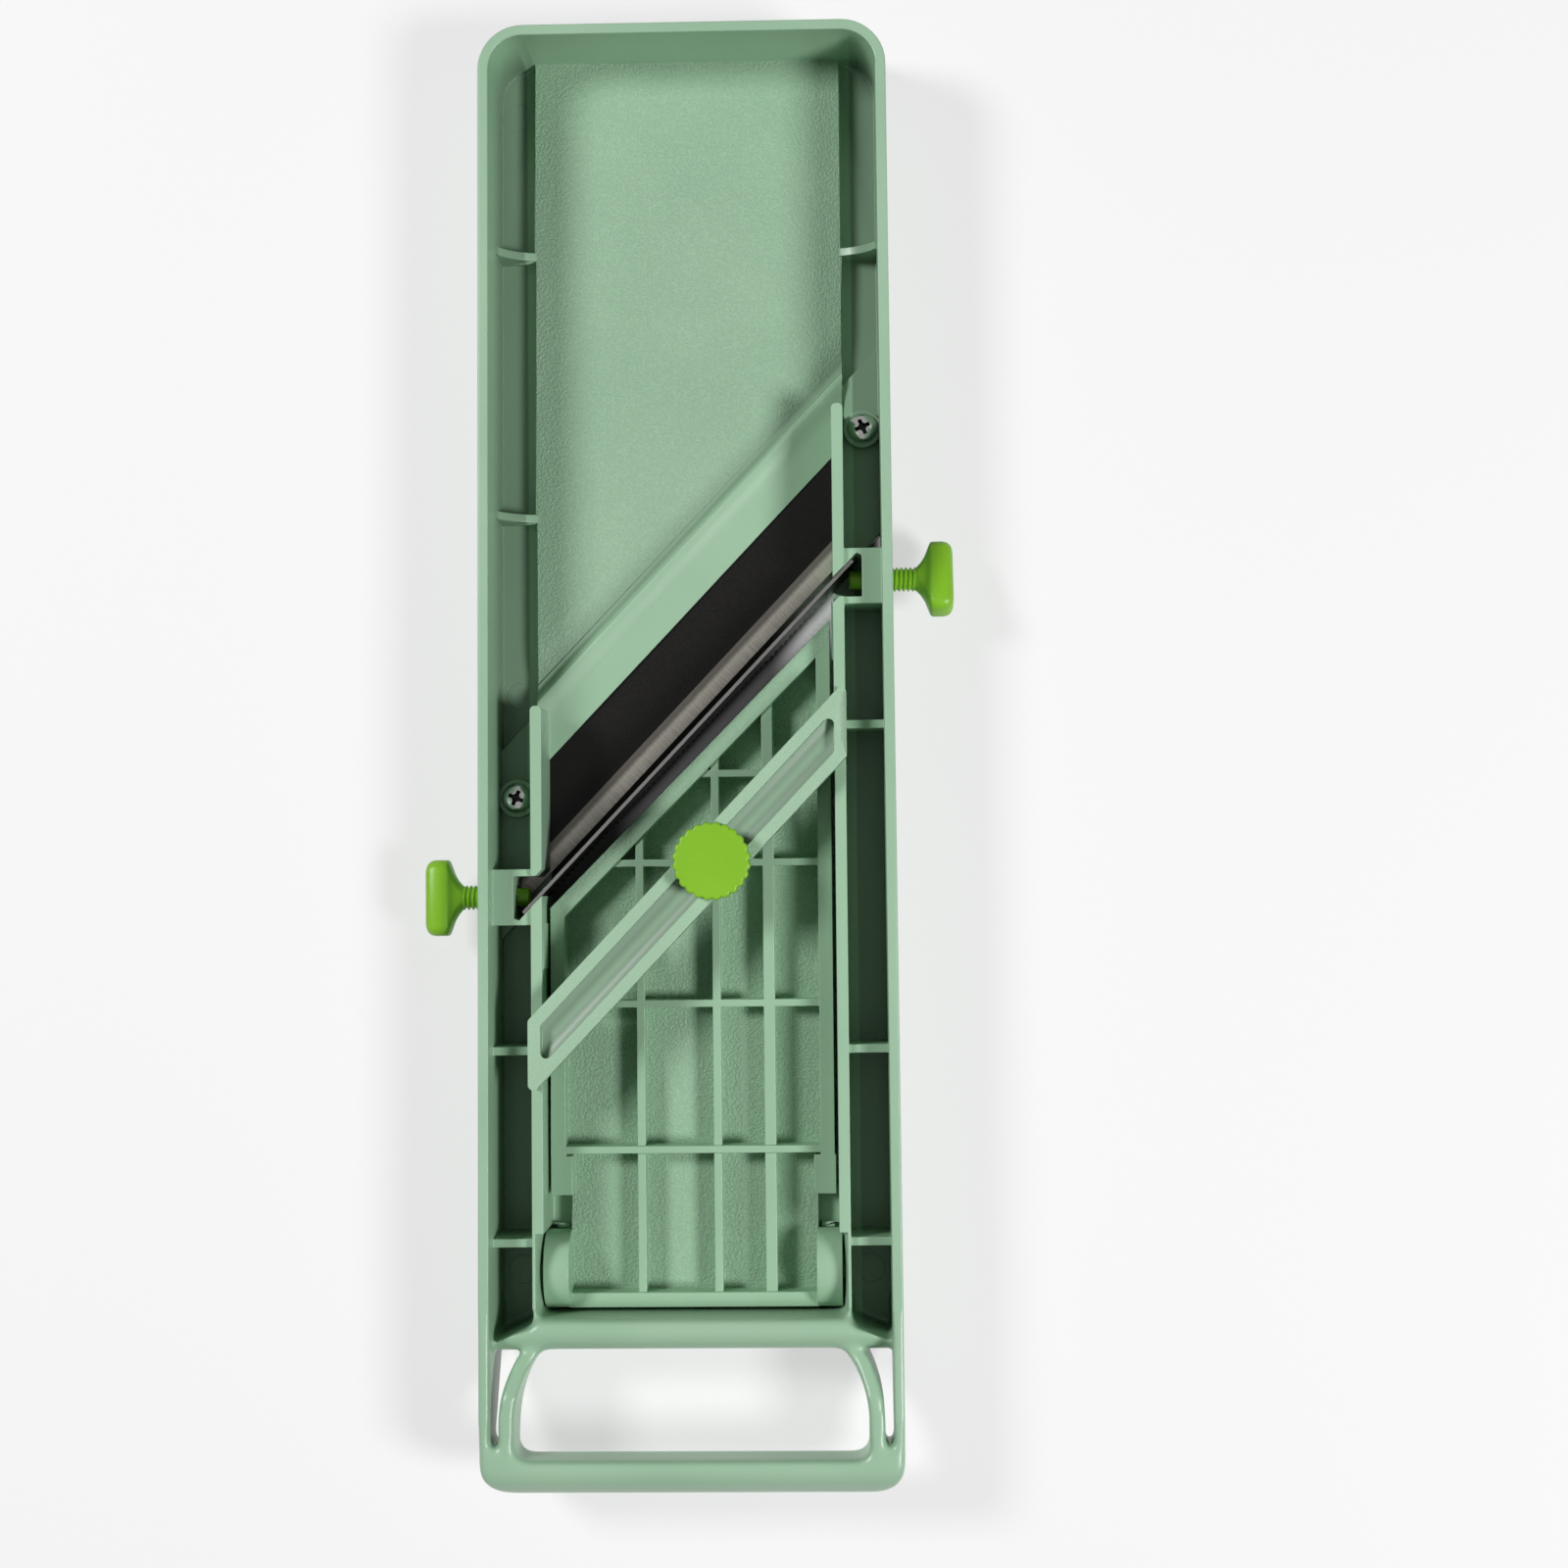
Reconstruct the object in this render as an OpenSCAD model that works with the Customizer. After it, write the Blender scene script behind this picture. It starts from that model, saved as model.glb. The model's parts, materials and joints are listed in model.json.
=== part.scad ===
// Hand-held mandoline slicer, lying with its food side down.
// X runs across it, Y along it away from the handle, Z up towards its open back.

/* [Body] */
// Length of the body from the grip to the far end
body_l = 318.8; // [300:0.1:345]
// Width of the body over its side walls
body_w = 91; // [88:0.1:100]
// How much narrower each side is at the far end
body_taper = 0.9; // [0:0.1:2]
// Height of the side walls
body_h = 26; // [25.5:0.1:30]
// Thickness of the side walls
wall = 2.3; // [1.8:0.1:3]
// Corner radius at the far end
far_corner_r = 9.8; // [5:0.1:14]
// Corner radius at the grip
near_corner_r = 7; // [4:0.1:10]
// Thickness of the flat strips on the food side
strip_t = 2.5; // [1.5:0.1:3.2]

/* [Food channel] */
// Width of the side channels between the rails and the side walls
gutter_w = 8.8; // [8.7:0.1:10]
// Depth of the channel down to the cutting plane
channel_depth = 4; // [3.6:0.1:4.6]
// Thickness of the fixed panel
panel_t = 2.6; // [2:0.1:3.2]
// Thickness of the rails that border the channel
rail_t = 2.5; // [2.1:0.1:3]
// Height of the rails
rail_h = 20.7; // [20.3:0.1:21.5]
// How far the left rail stops short of the blade's back edge, along the body
left_rail_short = 0.7; // [0:0.1:4]
// How far the right rail stops short of the blade's back edge, along the body
right_rail_short = 5; // [1:0.1:9]

/* [Main blade] */
// Angle of the cutting edge across the body
blade_angle = 46.5; // [45.5:0.1:47.5]
// Distance of the sharp edge from the body's centre, square to the edge
edge_offset = 5.4; // [4.8:0.1:6]
// Width of the blade from sharp edge to back edge
blade_depth = 26.3; // [25:0.1:28]
// Thickness of the blade
blade_t = 1.3; // [1:0.1:1.6]
// Width of the ground bevel
bevel_w = 4.6; // [2:0.1:6]
// Thickness left at the sharp edge
edge_t = 0.12; // [0.05:0.01:0.3]
// Gap between each end of the blade and the side wall
blade_end_gap = 1.2; // [0.6:0.1:2]
// How far in front of the edge the raised floor over the blade's ends starts
cover_front = 2.3; // [1.5:0.1:3]
// How far the panel's lip laps over the back of the blade
lip_lap = 8.9; // [4:0.1:11]
// Thickness of the lip at its thin edge
lip_edge_t = 0.45; // [0.3:0.05:1]
// Height of the ridge behind the lip above the panel
ridge_h = 0.5; // [0.2:0.1:1]

/* [Blade screws] */
// Radius of the shank
screw_r = 2; // [1.5:0.1:2.3]
// Radius of the pan head
screw_head_r = 3.4; // [3:0.1:3.8]
// Height of the pan head
screw_head_h = 2.4; // [1.8:0.1:3]
// Distance of the screws behind the sharp edge
screw_back = 16.4; // [12:0.1:19]
// Radius of the boss under each head
screw_boss_r = 4.25; // [4:0.05:4.4]
// Height of the boss above the food side
screw_boss_z = 9; // [8:0.1:11]
// Depth of the cross recess
cross_depth = 1.3; // [0.8:0.1:1.6]
// Length of the cross recess
cross_l = 4; // [3:0.1:4.6]
// Width of the cross recess
cross_w = 0.9; // [0.6:0.1:1.2]

/* [Comb blade] */
// Distance of the comb in front of the sharp edge
comb_gap = 3; // [2.4:0.1:3.4]
// Thickness of the comb
comb_t = 0.7; // [0.5:0.05:1]
// How far each end of the comb reaches past the side of the channel
comb_reach = 4.3; // [3.2:0.1:4.8]
// Gap beyond each end of the comb in its pocket
comb_end_gap = 0.9; // [0.5:0.1:1.4]
// Height of the comb's back edge above the food side
comb_back_z = 19; // [17:0.1:20]
// Height of the tooth tips above the food side
comb_tip_z = 3.4; // [3.1:0.05:3.9]
// Length of the teeth
tooth_l = 5.4; // [3:0.1:6]
// Distance from tooth to tooth
tooth_pitch = 1.6; // [1.2:0.1:8]

/* [Comb clamps] */
// Height of the clamp blocks
block_h = 19.6; // [18.5:0.1:20.4]
// Width of each block along the body
block_w = 12.2; // [11.8:0.1:13]
// Width of the pocket that takes the comb's end
pocket_w = 9.1; // [8.6:0.1:9.8]
// Depth of the pocket outwards from the channel
pocket_depth = 6.4; // [5.8:0.1:7]
// How far outside the channel's side each clamp screw crosses the comb
clamp_out = 1.03; // [0.8:0.01:1.3]
// Height of the clamp screws above the food side
clamp_z = 12; // [10:0.1:13]
// Radius of the clamp screw's thread
clamp_r = 2.7; // [2.4:0.05:3]
// Radius of the clamp screw's plain tip
tip_r = 2.05; // [1.6:0.05:2.2]
// Length of the plain tip
tip_l = 3; // [2:0.1:4]
// Length of the threaded shank
clamp_shank_l = 12; // [11:0.1:14]
// Length of the wing head
wing_l = 16.8; // [14:0.1:18]
// Width of the wing head
wing_w = 7.4; // [7:0.1:9]
// Thickness of the wing head
wing_t = 5; // [3.5:0.1:6]
// Length of the flare between the shank and the wing head
flare_l = 3; // [2:0.1:4]
// How far the right wing is turned from level
right_wing_turn = 20; // [0:1:90]

/* [Feed plate] */
// Slice thickness that the plate is drawn at
slice_t = 2; // [0.4:0.1:4.8]
// Angle of the plate's leading edge across the body
plate_angle = 45.3; // [45:0.1:46.5]
// Distance of the leading edge from the comb, at the middle of the body
plate_gap = 3.9; // [3.2:0.1:5]
// Gap between the plate and each side of the channel
plate_side_gap = 0.85; // [0.4:0.05:1.2]
// Thickness of the plate's skin
plate_skin = 2.2; // [1.8:0.1:2.8]
// Height of the plate's rim and ribs
plate_rim_h = 8; // [6.5:0.1:8.4]
// Width of the rim along the leading edge
lead_rim_w = 3.6; // [2.6:0.1:4]
// Width of the side flanges
side_rim_w = 3.1; // [2:0.1:3.6]
// How much lower the ribs are than the rim
rib_drop = 0.6; // [0.3:0.1:1.2]
// Width of the cross ribs
rib_t = 1.6; // [1:0.1:2.4]
// Width of the rib across the narrow end
foot_rib_t = 3.2; // [2.4:0.1:4]
// Distance of the shoulder's rib from the shoulder
shoulder_rib_gap = 0.9; // [0.5:0.1:1.5]
// Distance of the first cross rib from the comb's centre
first_rib_y = 7.8; // [6:0.1:9]
// Distance of the last cross rib from the rib at the knob
last_rib_y = 30.9; // [27:0.1:34]
// Distance of the left lengthwise rib from the centre line
left_rib_x = 11.3; // [9:0.1:13]
// Distance of the right lengthwise rib from the centre line
right_rib_x = 17; // [15.5:0.1:19]
// Width of the left and middle lengthwise ribs
slim_rib_t = 1.8; // [1.2:0.1:2.4]
// Width of the right lengthwise rib
wide_rib_t = 2.5; // [1.8:0.1:3]
// Where the side flanges stop, from the hinge
flange_end = 16.3; // [14:0.1:18]
// Distance from there to the cross rib at the shoulder
shoulder_l = 8.1; // [6:0.1:10]
// How far the narrow end reaches past the hinge
foot_l = 8.2; // [7:0.1:8.4]

/* [Hinge] */
// Distance of the hinge from the grip's outer face
hinge_y = 46.6; // [46:0.1:47.5]
// Height of the hinge above the food side
hinge_z = 9; // [8.6:0.1:9.4]
// Radius of the hinge hubs
hub_r = 8.5; // [7.8:0.1:8.7]
// Length of each hub
hub_l = 5.6; // [4.5:0.1:7]
// Gap between each hub and the thick part of the rail
hub_room = 0.4; // [0.3:0.05:0.8]
// Radius of the hinge studs
stud_r = 2.6; // [2:0.1:3.2]
// Gap between each hub and the thinned rail
hub_gap = 0.5; // [0.2:0.05:0.7]
// Thickness of the rail beside the hubs
thin_rail_t = 1.4; // [1.1:0.1:1.6]
// Height above the food side where the thin rail starts to slope out
thin_rail_z = 14; // [12:0.1:16]
// Distance of the end skin's edge from the hubs
skin_past_hub = 9; // [7:0.1:11]
// Thickness of the low rib in front of each hub
hub_stop_t = 1.2; // [0.8:0.1:1.4]
// Height of that rib above the strip
hub_stop_h = 2; // [1:0.1:2.4]
// Length of the left guide pad beside the plate
left_pad_l = 9.5; // [6:0.1:12]
// Length of the right guide pad beside the plate
right_pad_l = 11.8; // [8:0.1:14]
// How far the guide pads stand into the channel
pad_out = 0.35; // [0.2:0.05:0.5]

/* [Thickness adjuster] */
// Distance of the bridge bar from the sharp edge, square to it
bar_back = 25.8; // [25:0.1:27]
// Width of the bridge bar
bar_w = 11.5; // [10.6:0.1:12]
// Height of the bridge bar
bar_h = 4.3; // [3.6:0.1:4.8]
// How far each end of the bar reaches past the rail
bar_overhang = 0.2; // [-0.5:0.1:0.6]
// Width of the raised edge around the bar's trough
bar_edge_w = 2.7; // [2:0.1:3.1]
// Thickness of the bar under its trough
bar_floor_t = 1.7; // [1.4:0.1:2.4]
// How much deeper the trough is along its middle
trough_dip = 0.9; // [0.3:0.1:1.2]
// Knob's distance right of the body's centre line
knob_x = 5.45; // [3:0.05:8]
// Radius of the knob
knob_r = 8.4; // [7.5:0.1:10]
// Height of the knob above the bar
knob_h = 4.8; // [3.5:0.1:6]
// Number of notches round the knob
knob_notches = 24; // [16:1:30]
// Radius of each notch
notch_r = 0.8; // [0.4:0.05:0.95]
// Radius of the threaded stem
stem_r = 2.5; // [2:0.1:2.6]
// How far the stem reaches into the knob
stem_hold = 3; // [2:0.1:3.6]
// Height of the stem's lower end above the food side
stem_end_z = 9.3; // [9.2:0.1:9.8]
// Width of the nut across its flats
nut_flats = 8; // [7.4:0.1:8.6]
// Thickness of the nut
nut_t = 4; // [3:0.1:4.2]
// Radius of the boss that holds the nut
nut_boss_r = 6.6; // [6.2:0.1:7.2]
// Thickness of the retaining clip
clip_t = 0.8; // [0.5:0.05:1]
// Outer radius of the retaining clip
clip_r = 4.5; // [4:0.1:5.2]

/* [Handle] */
// Width of the grip bar
grip_w = 8.1; // [6.5:0.1:9]
// Height of the grip's front face above the food side
grip_z = 13.5; // [10:0.1:15]
// Width of the slim windows between the legs and the side walls
leg_window = 1.9; // [1.4:0.1:3.6]
// Distance of those windows from the hand opening's lower edge
window_lift = 2.6; // [1:0.1:4]
// Width of the curved legs beside the opening
leg_w = 3.4; // [2.8:0.1:3.8]
// Radius of the opening's upper corners
arch_r = 21.1; // [18:0.1:24]
// Length of the grip's level underside
grip_reach = 13; // [11:0.1:15]
// Distance of the cross wall's outer face from the grip's outer face
cross_wall_y = 30.4; // [30:0.1:31]
// Thickness of the cross wall
cross_wall_t = 7; // [6.5:0.1:7.2]
// Height of the cross wall
cross_wall_h = 22.5; // [21.5:0.1:24]
// How far the cross wall's inner face is set back beside the rails
cross_wall_step = 1.6; // [1:0.1:2.4]
// How far it is set back at the side walls
cross_wall_cut = 5.4; // [4:0.1:6]

/* [Webs] */
// Thickness of the webs in the side channels
web_t = 1.85; // [1.2:0.05:2.4]
// Height of the straight webs
web_h = 19; // [16:0.1:20]
// Radius of the hollow top of the curved webs
web_hollow_r = 12; // [10:0.1:14]
// Distance of the first hollow webs from the far end
first_web_y = 46.4; // [42:0.1:50]
// Distance of the second hollow web from the far end
second_web_y = 105.8; // [100:0.1:108]
// Distance of the right straight web from the right clamp screw
clamp_web_y = 32.4; // [28:0.1:36]
// Distance of the middle webs from the hinge
middle_web_y = 48.2; // [44:0.1:52]
// Distance of the hub webs from the hinge
hub_web_y = 6.8; // [4:0.1:9]

/* [Fits] */
// Radial clearance of a turning fit
running = 0.05; // [0.02:0.01:0.09]
// Clearance of a part that sits in a pocket
seat_gap = 0.1; // [0.05:0.01:0.2]
// Radial clearance between the stem and the swinging nut
swing_gap = 0.35; // [0.25:0.05:0.45]

/* [Hidden] */
$fn = 48;
big = 600;
sink = 0.4;

// Places along X
wall_x = body_w / 2 - wall;
rail_x = wall_x - gutter_w;
channel_x = rail_x - rail_t;
channel_w = 2 * channel_x;
gutter_x = (rail_x + wall_x) / 2;
thin_x = rail_x - thin_rail_t;
hub_x = thin_x - hub_gap;
neck_half_w = hub_x - hub_l;
opening_half_w = wall_x - leg_window - leg_w;

// Places along Y
grip_y = -body_l / 2;
far_y = body_l / 2;
cross_out_y = grip_y + cross_wall_y;
cross_in_y = cross_out_y + cross_wall_t;
pivot_y = grip_y + hinge_y;
skin_end_y = pivot_y + hub_r + skin_past_hub;
thin_y = pivot_y + hub_r + hub_room;

// Places square to the cutting edge, and their crossings of the centre line
tan_blade = tan(blade_angle);
cos_blade = cos(blade_angle);
blade_back = edge_offset + blade_depth;
lip_edge = blade_back - lip_lap;
comb_line = edge_offset - comb_gap;
comb_y = comb_line / cos_blade;
bar_line = edge_offset - bar_back;
screw_line = edge_offset + screw_back;

// Heights
blade_top = channel_depth + blade_t;
panel_top = channel_depth + panel_t;
cover_z = blade_top + 0.7;
bar_floor_z = rail_h + bar_floor_t;
bar_top = rail_h + bar_h;
pocket_z = 3;

// The blade's ends are cut along the body
blade_half = wall_x - blade_end_gap;

// Far ends of the rails
rail_mid = channel_x + rail_t / 2;
rail_back = blade_back / cos_blade;
left_rail_start = rail_back - rail_mid * tan_blade - left_rail_short;
right_rail_start = rail_back + rail_mid * tan_blade - right_rail_short;

// Comb, from pocket to pocket
comb_half_x = channel_x + comb_reach;
comb_l = 2 * comb_half_x / cos_blade;
clamp_y = (channel_x + clamp_out) * tan_blade;

// Clamp screws: the tip's near corner meets the comb's face
comb_face = comb_t / 2 / cos_blade;
tip_x = (clamp_y + tip_r + comb_face) / tan_blade + seat_gap;
shank_x = tip_x + tip_l;
spigot_r = 1.2;
spigot_l = 2;

// Feed plate: flat it is flush with the cutting plane, and it swings on its hinge
plate_x = channel_x - plate_side_gap;
lead_y = comb_y - plate_gap / cos_blade;
plate_swing = asin(slice_t / (lead_y - pivot_y));
plate_top = channel_depth + plate_rim_h;
plate_skin_top = channel_depth + plate_skin;
flange_y = pivot_y + flange_end;
shoulder_y = flange_y + shoulder_l;
plate_foot_y = pivot_y - foot_l;
rib_h = plate_rim_h - rib_drop;

// Adjuster
knob_y = (bar_line + knob_x * sin(blade_angle)) / cos_blade;
nut_z = channel_depth + 4;
nut_boss_top = nut_z + nut_t + 0.6;
clip_top = rail_h - seat_gap;
groove_r = stem_r - 0.4;
foot_z = rail_h - 2.8;
foot_w = 8;
foot_t = 1.5;
nib = 0.9;
nib_h = 1.3;

// ---------- shared shapes ----------

// A point on an arc, in degrees
function arc(centre, r, from, to, steps) =
    [for (i = [0 : steps]) centre + r * [cos(from + (to - from) * i / steps), sin(from + (to - from) * i / steps)]];

// Everything on the far side of a line parallel to the cutting edge
module beyond(offset_from_centre) {
    rotate(blade_angle)
        translate([-big / 2, offset_from_centre])
            square([big, big]);
}

// A profile in (distance from centre, height), drawn out along the cutting edge
module along_edge(length) {
    rotate([0, 0, blade_angle])
        translate([-length / 2, 0, 0])
            rotate([90, 0, 90])
                linear_extrude(length)
                    children();
}

// A profile in (along the body, height), drawn out across the body
module across(width) {
    translate([-width / 2, 0, 0])
        rotate([90, 0, 90])
            linear_extrude(width)
                children();
}

// Turns a piece half a turn about the comb's centre
module opposite() {
    translate([0, 2 * comb_y, 0])
        rotate([0, 0, 180])
            children();
}

// Swings a piece about the hinge from the flush position
module swung() {
    translate([0, pivot_y, hinge_z])
        rotate([plate_swing, 0, 0])
            translate([0, -pivot_y, -hinge_z])
                children();
}

// Plan of the body, drawn in by an inset
module outline(inset) {
    far = [body_w / 2 - body_taper - far_corner_r, far_y - far_corner_r];
    near = [body_w / 2 - near_corner_r, -grip_y - near_corner_r];
    far_r = far_corner_r - inset;
    near_r = near_corner_r - inset;
    polygon(concat(
        arc(far, far_r, 0, 90, 10),
        arc([-far[0], far[1]], far_r, 90, 180, 10),
        arc([-near[0], -near[1]], near_r, 180, 270, 8),
        arc([near[0], -near[1]], near_r, 270, 360, 8)));
}

// ---------- body ----------

// Plan of the hand opening; a larger spread gives the outside of its legs
module arch(spread) {
    foot_r = 2.75;
    foot_y = grip_y + grip_w;
    leg_rise = 8.3;
    intersection() {
        hull()
            for (side = [-1, 1])
                for (y = [foot_y - 2, foot_y + leg_rise])
                    translate([side * (opening_half_w - arch_r), y])
                        circle(r = arch_r + spread);
        offset(r = foot_r)
            offset(delta = -foot_r)
                translate([-opening_half_w - spread, foot_y - spread])
                    square([2 * opening_half_w + 2 * spread, 2 * arch_r]);
    }
}

// Side view of the body: the food side recedes towards the grip
module side_view() {
    edge_r = 5;
    bend_r = 12;
    offset(r = -bend_r)
        offset(delta = bend_r)
            offset(r = edge_r)
                offset(delta = -edge_r)
                    polygon([
                        [far_y + big, 0],
                        [cross_in_y, 0],
                        [grip_y + grip_reach, grip_z],
                        [grip_y, grip_z],
                        [grip_y, body_h],
                        [far_y + big, body_h]]);
}

// Side view of the legs, which rise from the cross wall's rounded top to the grip
module leg_view() {
    root_y = cross_out_y + 2;
    root_z = cross_wall_h - 1.5;
    rise_l = 9;
    polygon([
        [root_y, -1],
        [root_y, root_z - 0.5],
        [cross_out_y, root_z],
        [cross_out_y - rise_l, body_h - 0.5],
        [grip_y + grip_w, body_h],
        [grip_y - 1, body_h],
        [grip_y - 1, -1]]);
}

module handle_loop() {
    window_r = 0.7;
    intersection() {
        linear_extrude(body_h)
            difference() {
                intersection() {
                    outline(wall / 2);
                    translate([-big / 2, cross_out_y + 2 - big])
                        square([big, big]);
                }
                arch(0);
                // slim windows between the legs and the side walls
                offset(r = window_r)
                    offset(delta = -window_r)
                        difference() {
                            intersection() {
                                outline(wall);
                                translate([-big / 2, grip_y + grip_w + window_lift])
                                    square([big, big]);
                            }
                            arch(leg_w);
                        }
            }
        across(body_w)
            leg_view();
    }
}

// Raised rails on both sides of the feed plate
module rail(side, start) {
    x = side > 0 ? channel_x : -rail_x;
    end_r = rail_t / 2 - 0.2;
    linear_extrude(rail_h)
        offset(r = end_r)
            offset(delta = -end_r)
                translate([x, cross_in_y - 2])
                    square([rail_t, start - cross_in_y + 2]);
}

// Web across a side channel
module web(side, y) {
    translate([side * gutter_x - (wall_x - rail_x) / 2 - sink, y - web_t / 2, 0])
        cube([wall_x - rail_x + 2 * sink, web_t, web_h]);
}

// Web whose top is hollowed from the side wall down to the panel
module hollow_web(side, y) {
    width = wall_x - rail_x + 2 * sink;
    mirror([side > 0 ? 0 : 1, 0, 0])
        translate([rail_x - sink, y + web_t / 2, 0])
            rotate([90, 0, 0])
                linear_extrude(web_t)
                    difference() {
                        square([width, panel_top + web_hollow_r]);
                        translate([width - web_hollow_r, panel_top + web_hollow_r])
                            circle(r = web_hollow_r);
                    }
}

// Cross wall with a rounded top, cut back at an angle in the side channels
module cross_wall() {
    roll_r = 4.9;
    lip_r = 1.8;
    difference() {
        across(2 * wall_x + 2 * sink)
            polygon(concat(
                [[cross_in_y, 0]],
                arc([cross_in_y - lip_r, cross_wall_h - lip_r], lip_r, 0, 90, 6),
                arc([cross_out_y + roll_r, cross_wall_h - roll_r], roll_r, 90, 180, 10),
                [[cross_out_y, 0]]));
        for (side = [-1, 1])
            mirror([side > 0 ? 0 : 1, 0, 0])
                translate([0, 0, strip_t])
                    linear_extrude(body_h)
                        polygon([
                            [rail_x, cross_in_y - cross_wall_step],
                            [wall_x + 1, cross_in_y - cross_wall_cut],
                            [wall_x + 1, cross_in_y + 1],
                            [rail_x, cross_in_y + 1]]);
    }
}

// Clamp block on the left side, drawn about the comb's centre
module clamp_block() {
    translate([0, comb_y, 0])
        translate([-wall_x - sink, -clamp_y - block_w / 2, 0])
            cube([wall_x + sink - channel_x, block_w, block_h]);
}

// Pocket in the block: open to the channel, with an anvil in front of the comb
module clamp_pocket() {
    top = -clamp_y + pocket_w / 2;
    front = comb_face + seat_gap / cos_blade;
    out = channel_x + pocket_depth;
    comb_end = comb_half_x + comb_end_gap;
    translate([0, comb_y, pocket_z])
        linear_extrude(body_h)
            polygon([
                [-out, top],
                [-channel_x - 1.4, top],
                [-channel_x + 0.1, top + 1.6],
                [-channel_x + 0.1, -channel_x * tan_blade - front],
                [-comb_end, -comb_end * tan_blade - front],
                [-out, -clamp_y - pocket_w / 2]]);
}

module clamp_bore() {
    translate([-body_w / 2 - 1, comb_y - clamp_y, clamp_z])
        rotate([0, 90, 0])
            cylinder(r = clamp_r + running, h = body_w / 2 + 1 - channel_x - pocket_depth + 0.5);
}

// Lip of the panel that laps over the back of the blade
module panel_lip() {
    under = blade_top + running;
    crest = blade_back + 1.7;
    shoulder_z = panel_top + ridge_h * 0.6;
    lip_end = crest + 3.5;
    along_edge(big)
        polygon([
            [lip_edge, under],
            [lip_edge, under + lip_edge_t],
            [crest - 1, shoulder_z],
            [crest, panel_top + ridge_h],
            [crest + 1, shoulder_z],
            [crest + 2, panel_top],
            [lip_end, panel_top],
            [lip_end, channel_depth],
            [blade_back + seat_gap, channel_depth],
            [blade_back + seat_gap, under]]);
}

module blade_slot() {
    intersection() {
        along_edge(big)
            translate([edge_offset - seat_gap, channel_depth - running])
                square([blade_depth + 2 * seat_gap, blade_t + 2 * running]);
        translate([-blade_half - seat_gap, -big / 2, 0])
            cube([2 * blade_half + 2 * seat_gap, big, body_h]);
    }
}

// Point of a blade screw on the centre of a side channel
function screw_at(side) = [side * gutter_x, side * gutter_x * tan_blade + screw_line / cos_blade, 0];

// Window in the right strip, between the clamp block and the raised floor
module edge_window() {
    block_end = comb_y + clamp_y + block_w / 2;
    translate([0, 0, -1])
        linear_extrude(strip_t + 1)
            difference() {
                translate([rail_x + sink, block_end - sink])
                    square([gutter_w, 2 * gutter_w]);
                beyond(edge_offset - cover_front);
            }
}

// Rib that stands in front of each hinge hub
module hub_stop(side) {
    x = side > 0 ? neck_half_w + 1 : -thin_x - sink;
    translate([x, pivot_y + hub_r - 0.5, 0])
        cube([thin_x + sink - neck_half_w - 1, hub_stop_t, strip_t + hub_stop_h]);
}

// Thin pad on a rail's inner face that guides the plate's tip
module guide_pad(side, y, length) {
    x = side > 0 ? channel_x - pad_out : -channel_x - sink;
    translate([x, y, channel_depth])
        cube([pad_out + sink, length + sink, rail_h - channel_depth - sink]);
}

// Plan of the strips beside the channel and of the end skin
module food_side_plan() {
    difference() {
        intersection() {
            outline(wall / 2);
            translate([-big / 2, cross_out_y + 1])
                square([big, big]);
        }
        translate([-channel_x, skin_end_y])
            square([channel_w, big]);
    }
}

// Everything that stands between the side walls
module inside_parts() {
    linear_extrude(strip_t)
        food_side_plan();
    // fixed panel and lip, out to the rails' outer faces, and the low walls that carry them
    translate([0, 0, channel_depth])
        linear_extrude(panel_t)
            intersection() {
                translate([-rail_x, -big / 2])
                    square([2 * rail_x, big]);
                beyond(blade_back + 3);
                outline(wall / 2);
            }
    intersection() {
        panel_lip();
        translate([-rail_x, -big / 2, 0])
            cube([2 * rail_x, big, body_h]);
    }
    for (side = [-1, 1])
        translate([side * rail_mid - rail_t / 2, 0, 0])
            linear_extrude(blade_top)
                translate([0, side > 0 ? right_rail_start - 2 : left_rail_start - 2])
                    square([rail_t, far_y - wall / 2 - (side > 0 ? right_rail_start : left_rail_start) + 2]);
    rail(-1, left_rail_start);
    rail(1, right_rail_start);
    // raised floor over the blade's ends
    for (side = [-1, 1])
        linear_extrude(cover_z)
            intersection() {
                difference() {
                    beyond(edge_offset - cover_front);
                    beyond(blade_back + 0.4);
                }
                translate([side * gutter_x - (wall_x - rail_x) / 2 - sink, -big / 2])
                    square([wall_x - rail_x + 2 * sink, big]);
            }
    for (side = [-1, 1])
        translate(screw_at(side))
            cylinder(r = screw_boss_r, h = screw_boss_z);
    for (side = [-1, 1])
        hollow_web(side, far_y - first_web_y);
    hollow_web(-1, far_y - second_web_y);
    web(1, comb_y + clamp_y - clamp_web_y);
    for (side = [-1, 1]) {
        web(side, pivot_y + middle_web_y);
        web(side, pivot_y + hub_web_y);
    }
    clamp_block();
    opposite()
        clamp_block();
    cross_wall();
    for (side = [-1, 1])
        hub_stop(side);
    guide_pad(-1, comb_y - clamp_y - block_w / 2 - left_pad_l, left_pad_l);
    guide_pad(1, comb_y + clamp_y - block_w / 2 - right_pad_l, right_pad_l);
}

// Thinned rails beside the hubs, with a sloping lead-in at the top
module hub_recess(side) {
    thin_top_t = 0.7;
    mirror([side > 0 ? 0 : 1, 0, 0])
        translate([0, cross_in_y, 0])
            rotate([90, 0, 0])
                mirror([0, 0, 1])
                    linear_extrude(thin_y - cross_in_y)
                        polygon([
                            [channel_x - 1, strip_t],
                            [thin_x, strip_t],
                            [thin_x, thin_rail_z],
                            [rail_x - thin_top_t, rail_h],
                            [rail_x - thin_top_t, rail_h + 1],
                            [channel_x - 1, rail_h + 1]]);
}

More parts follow.
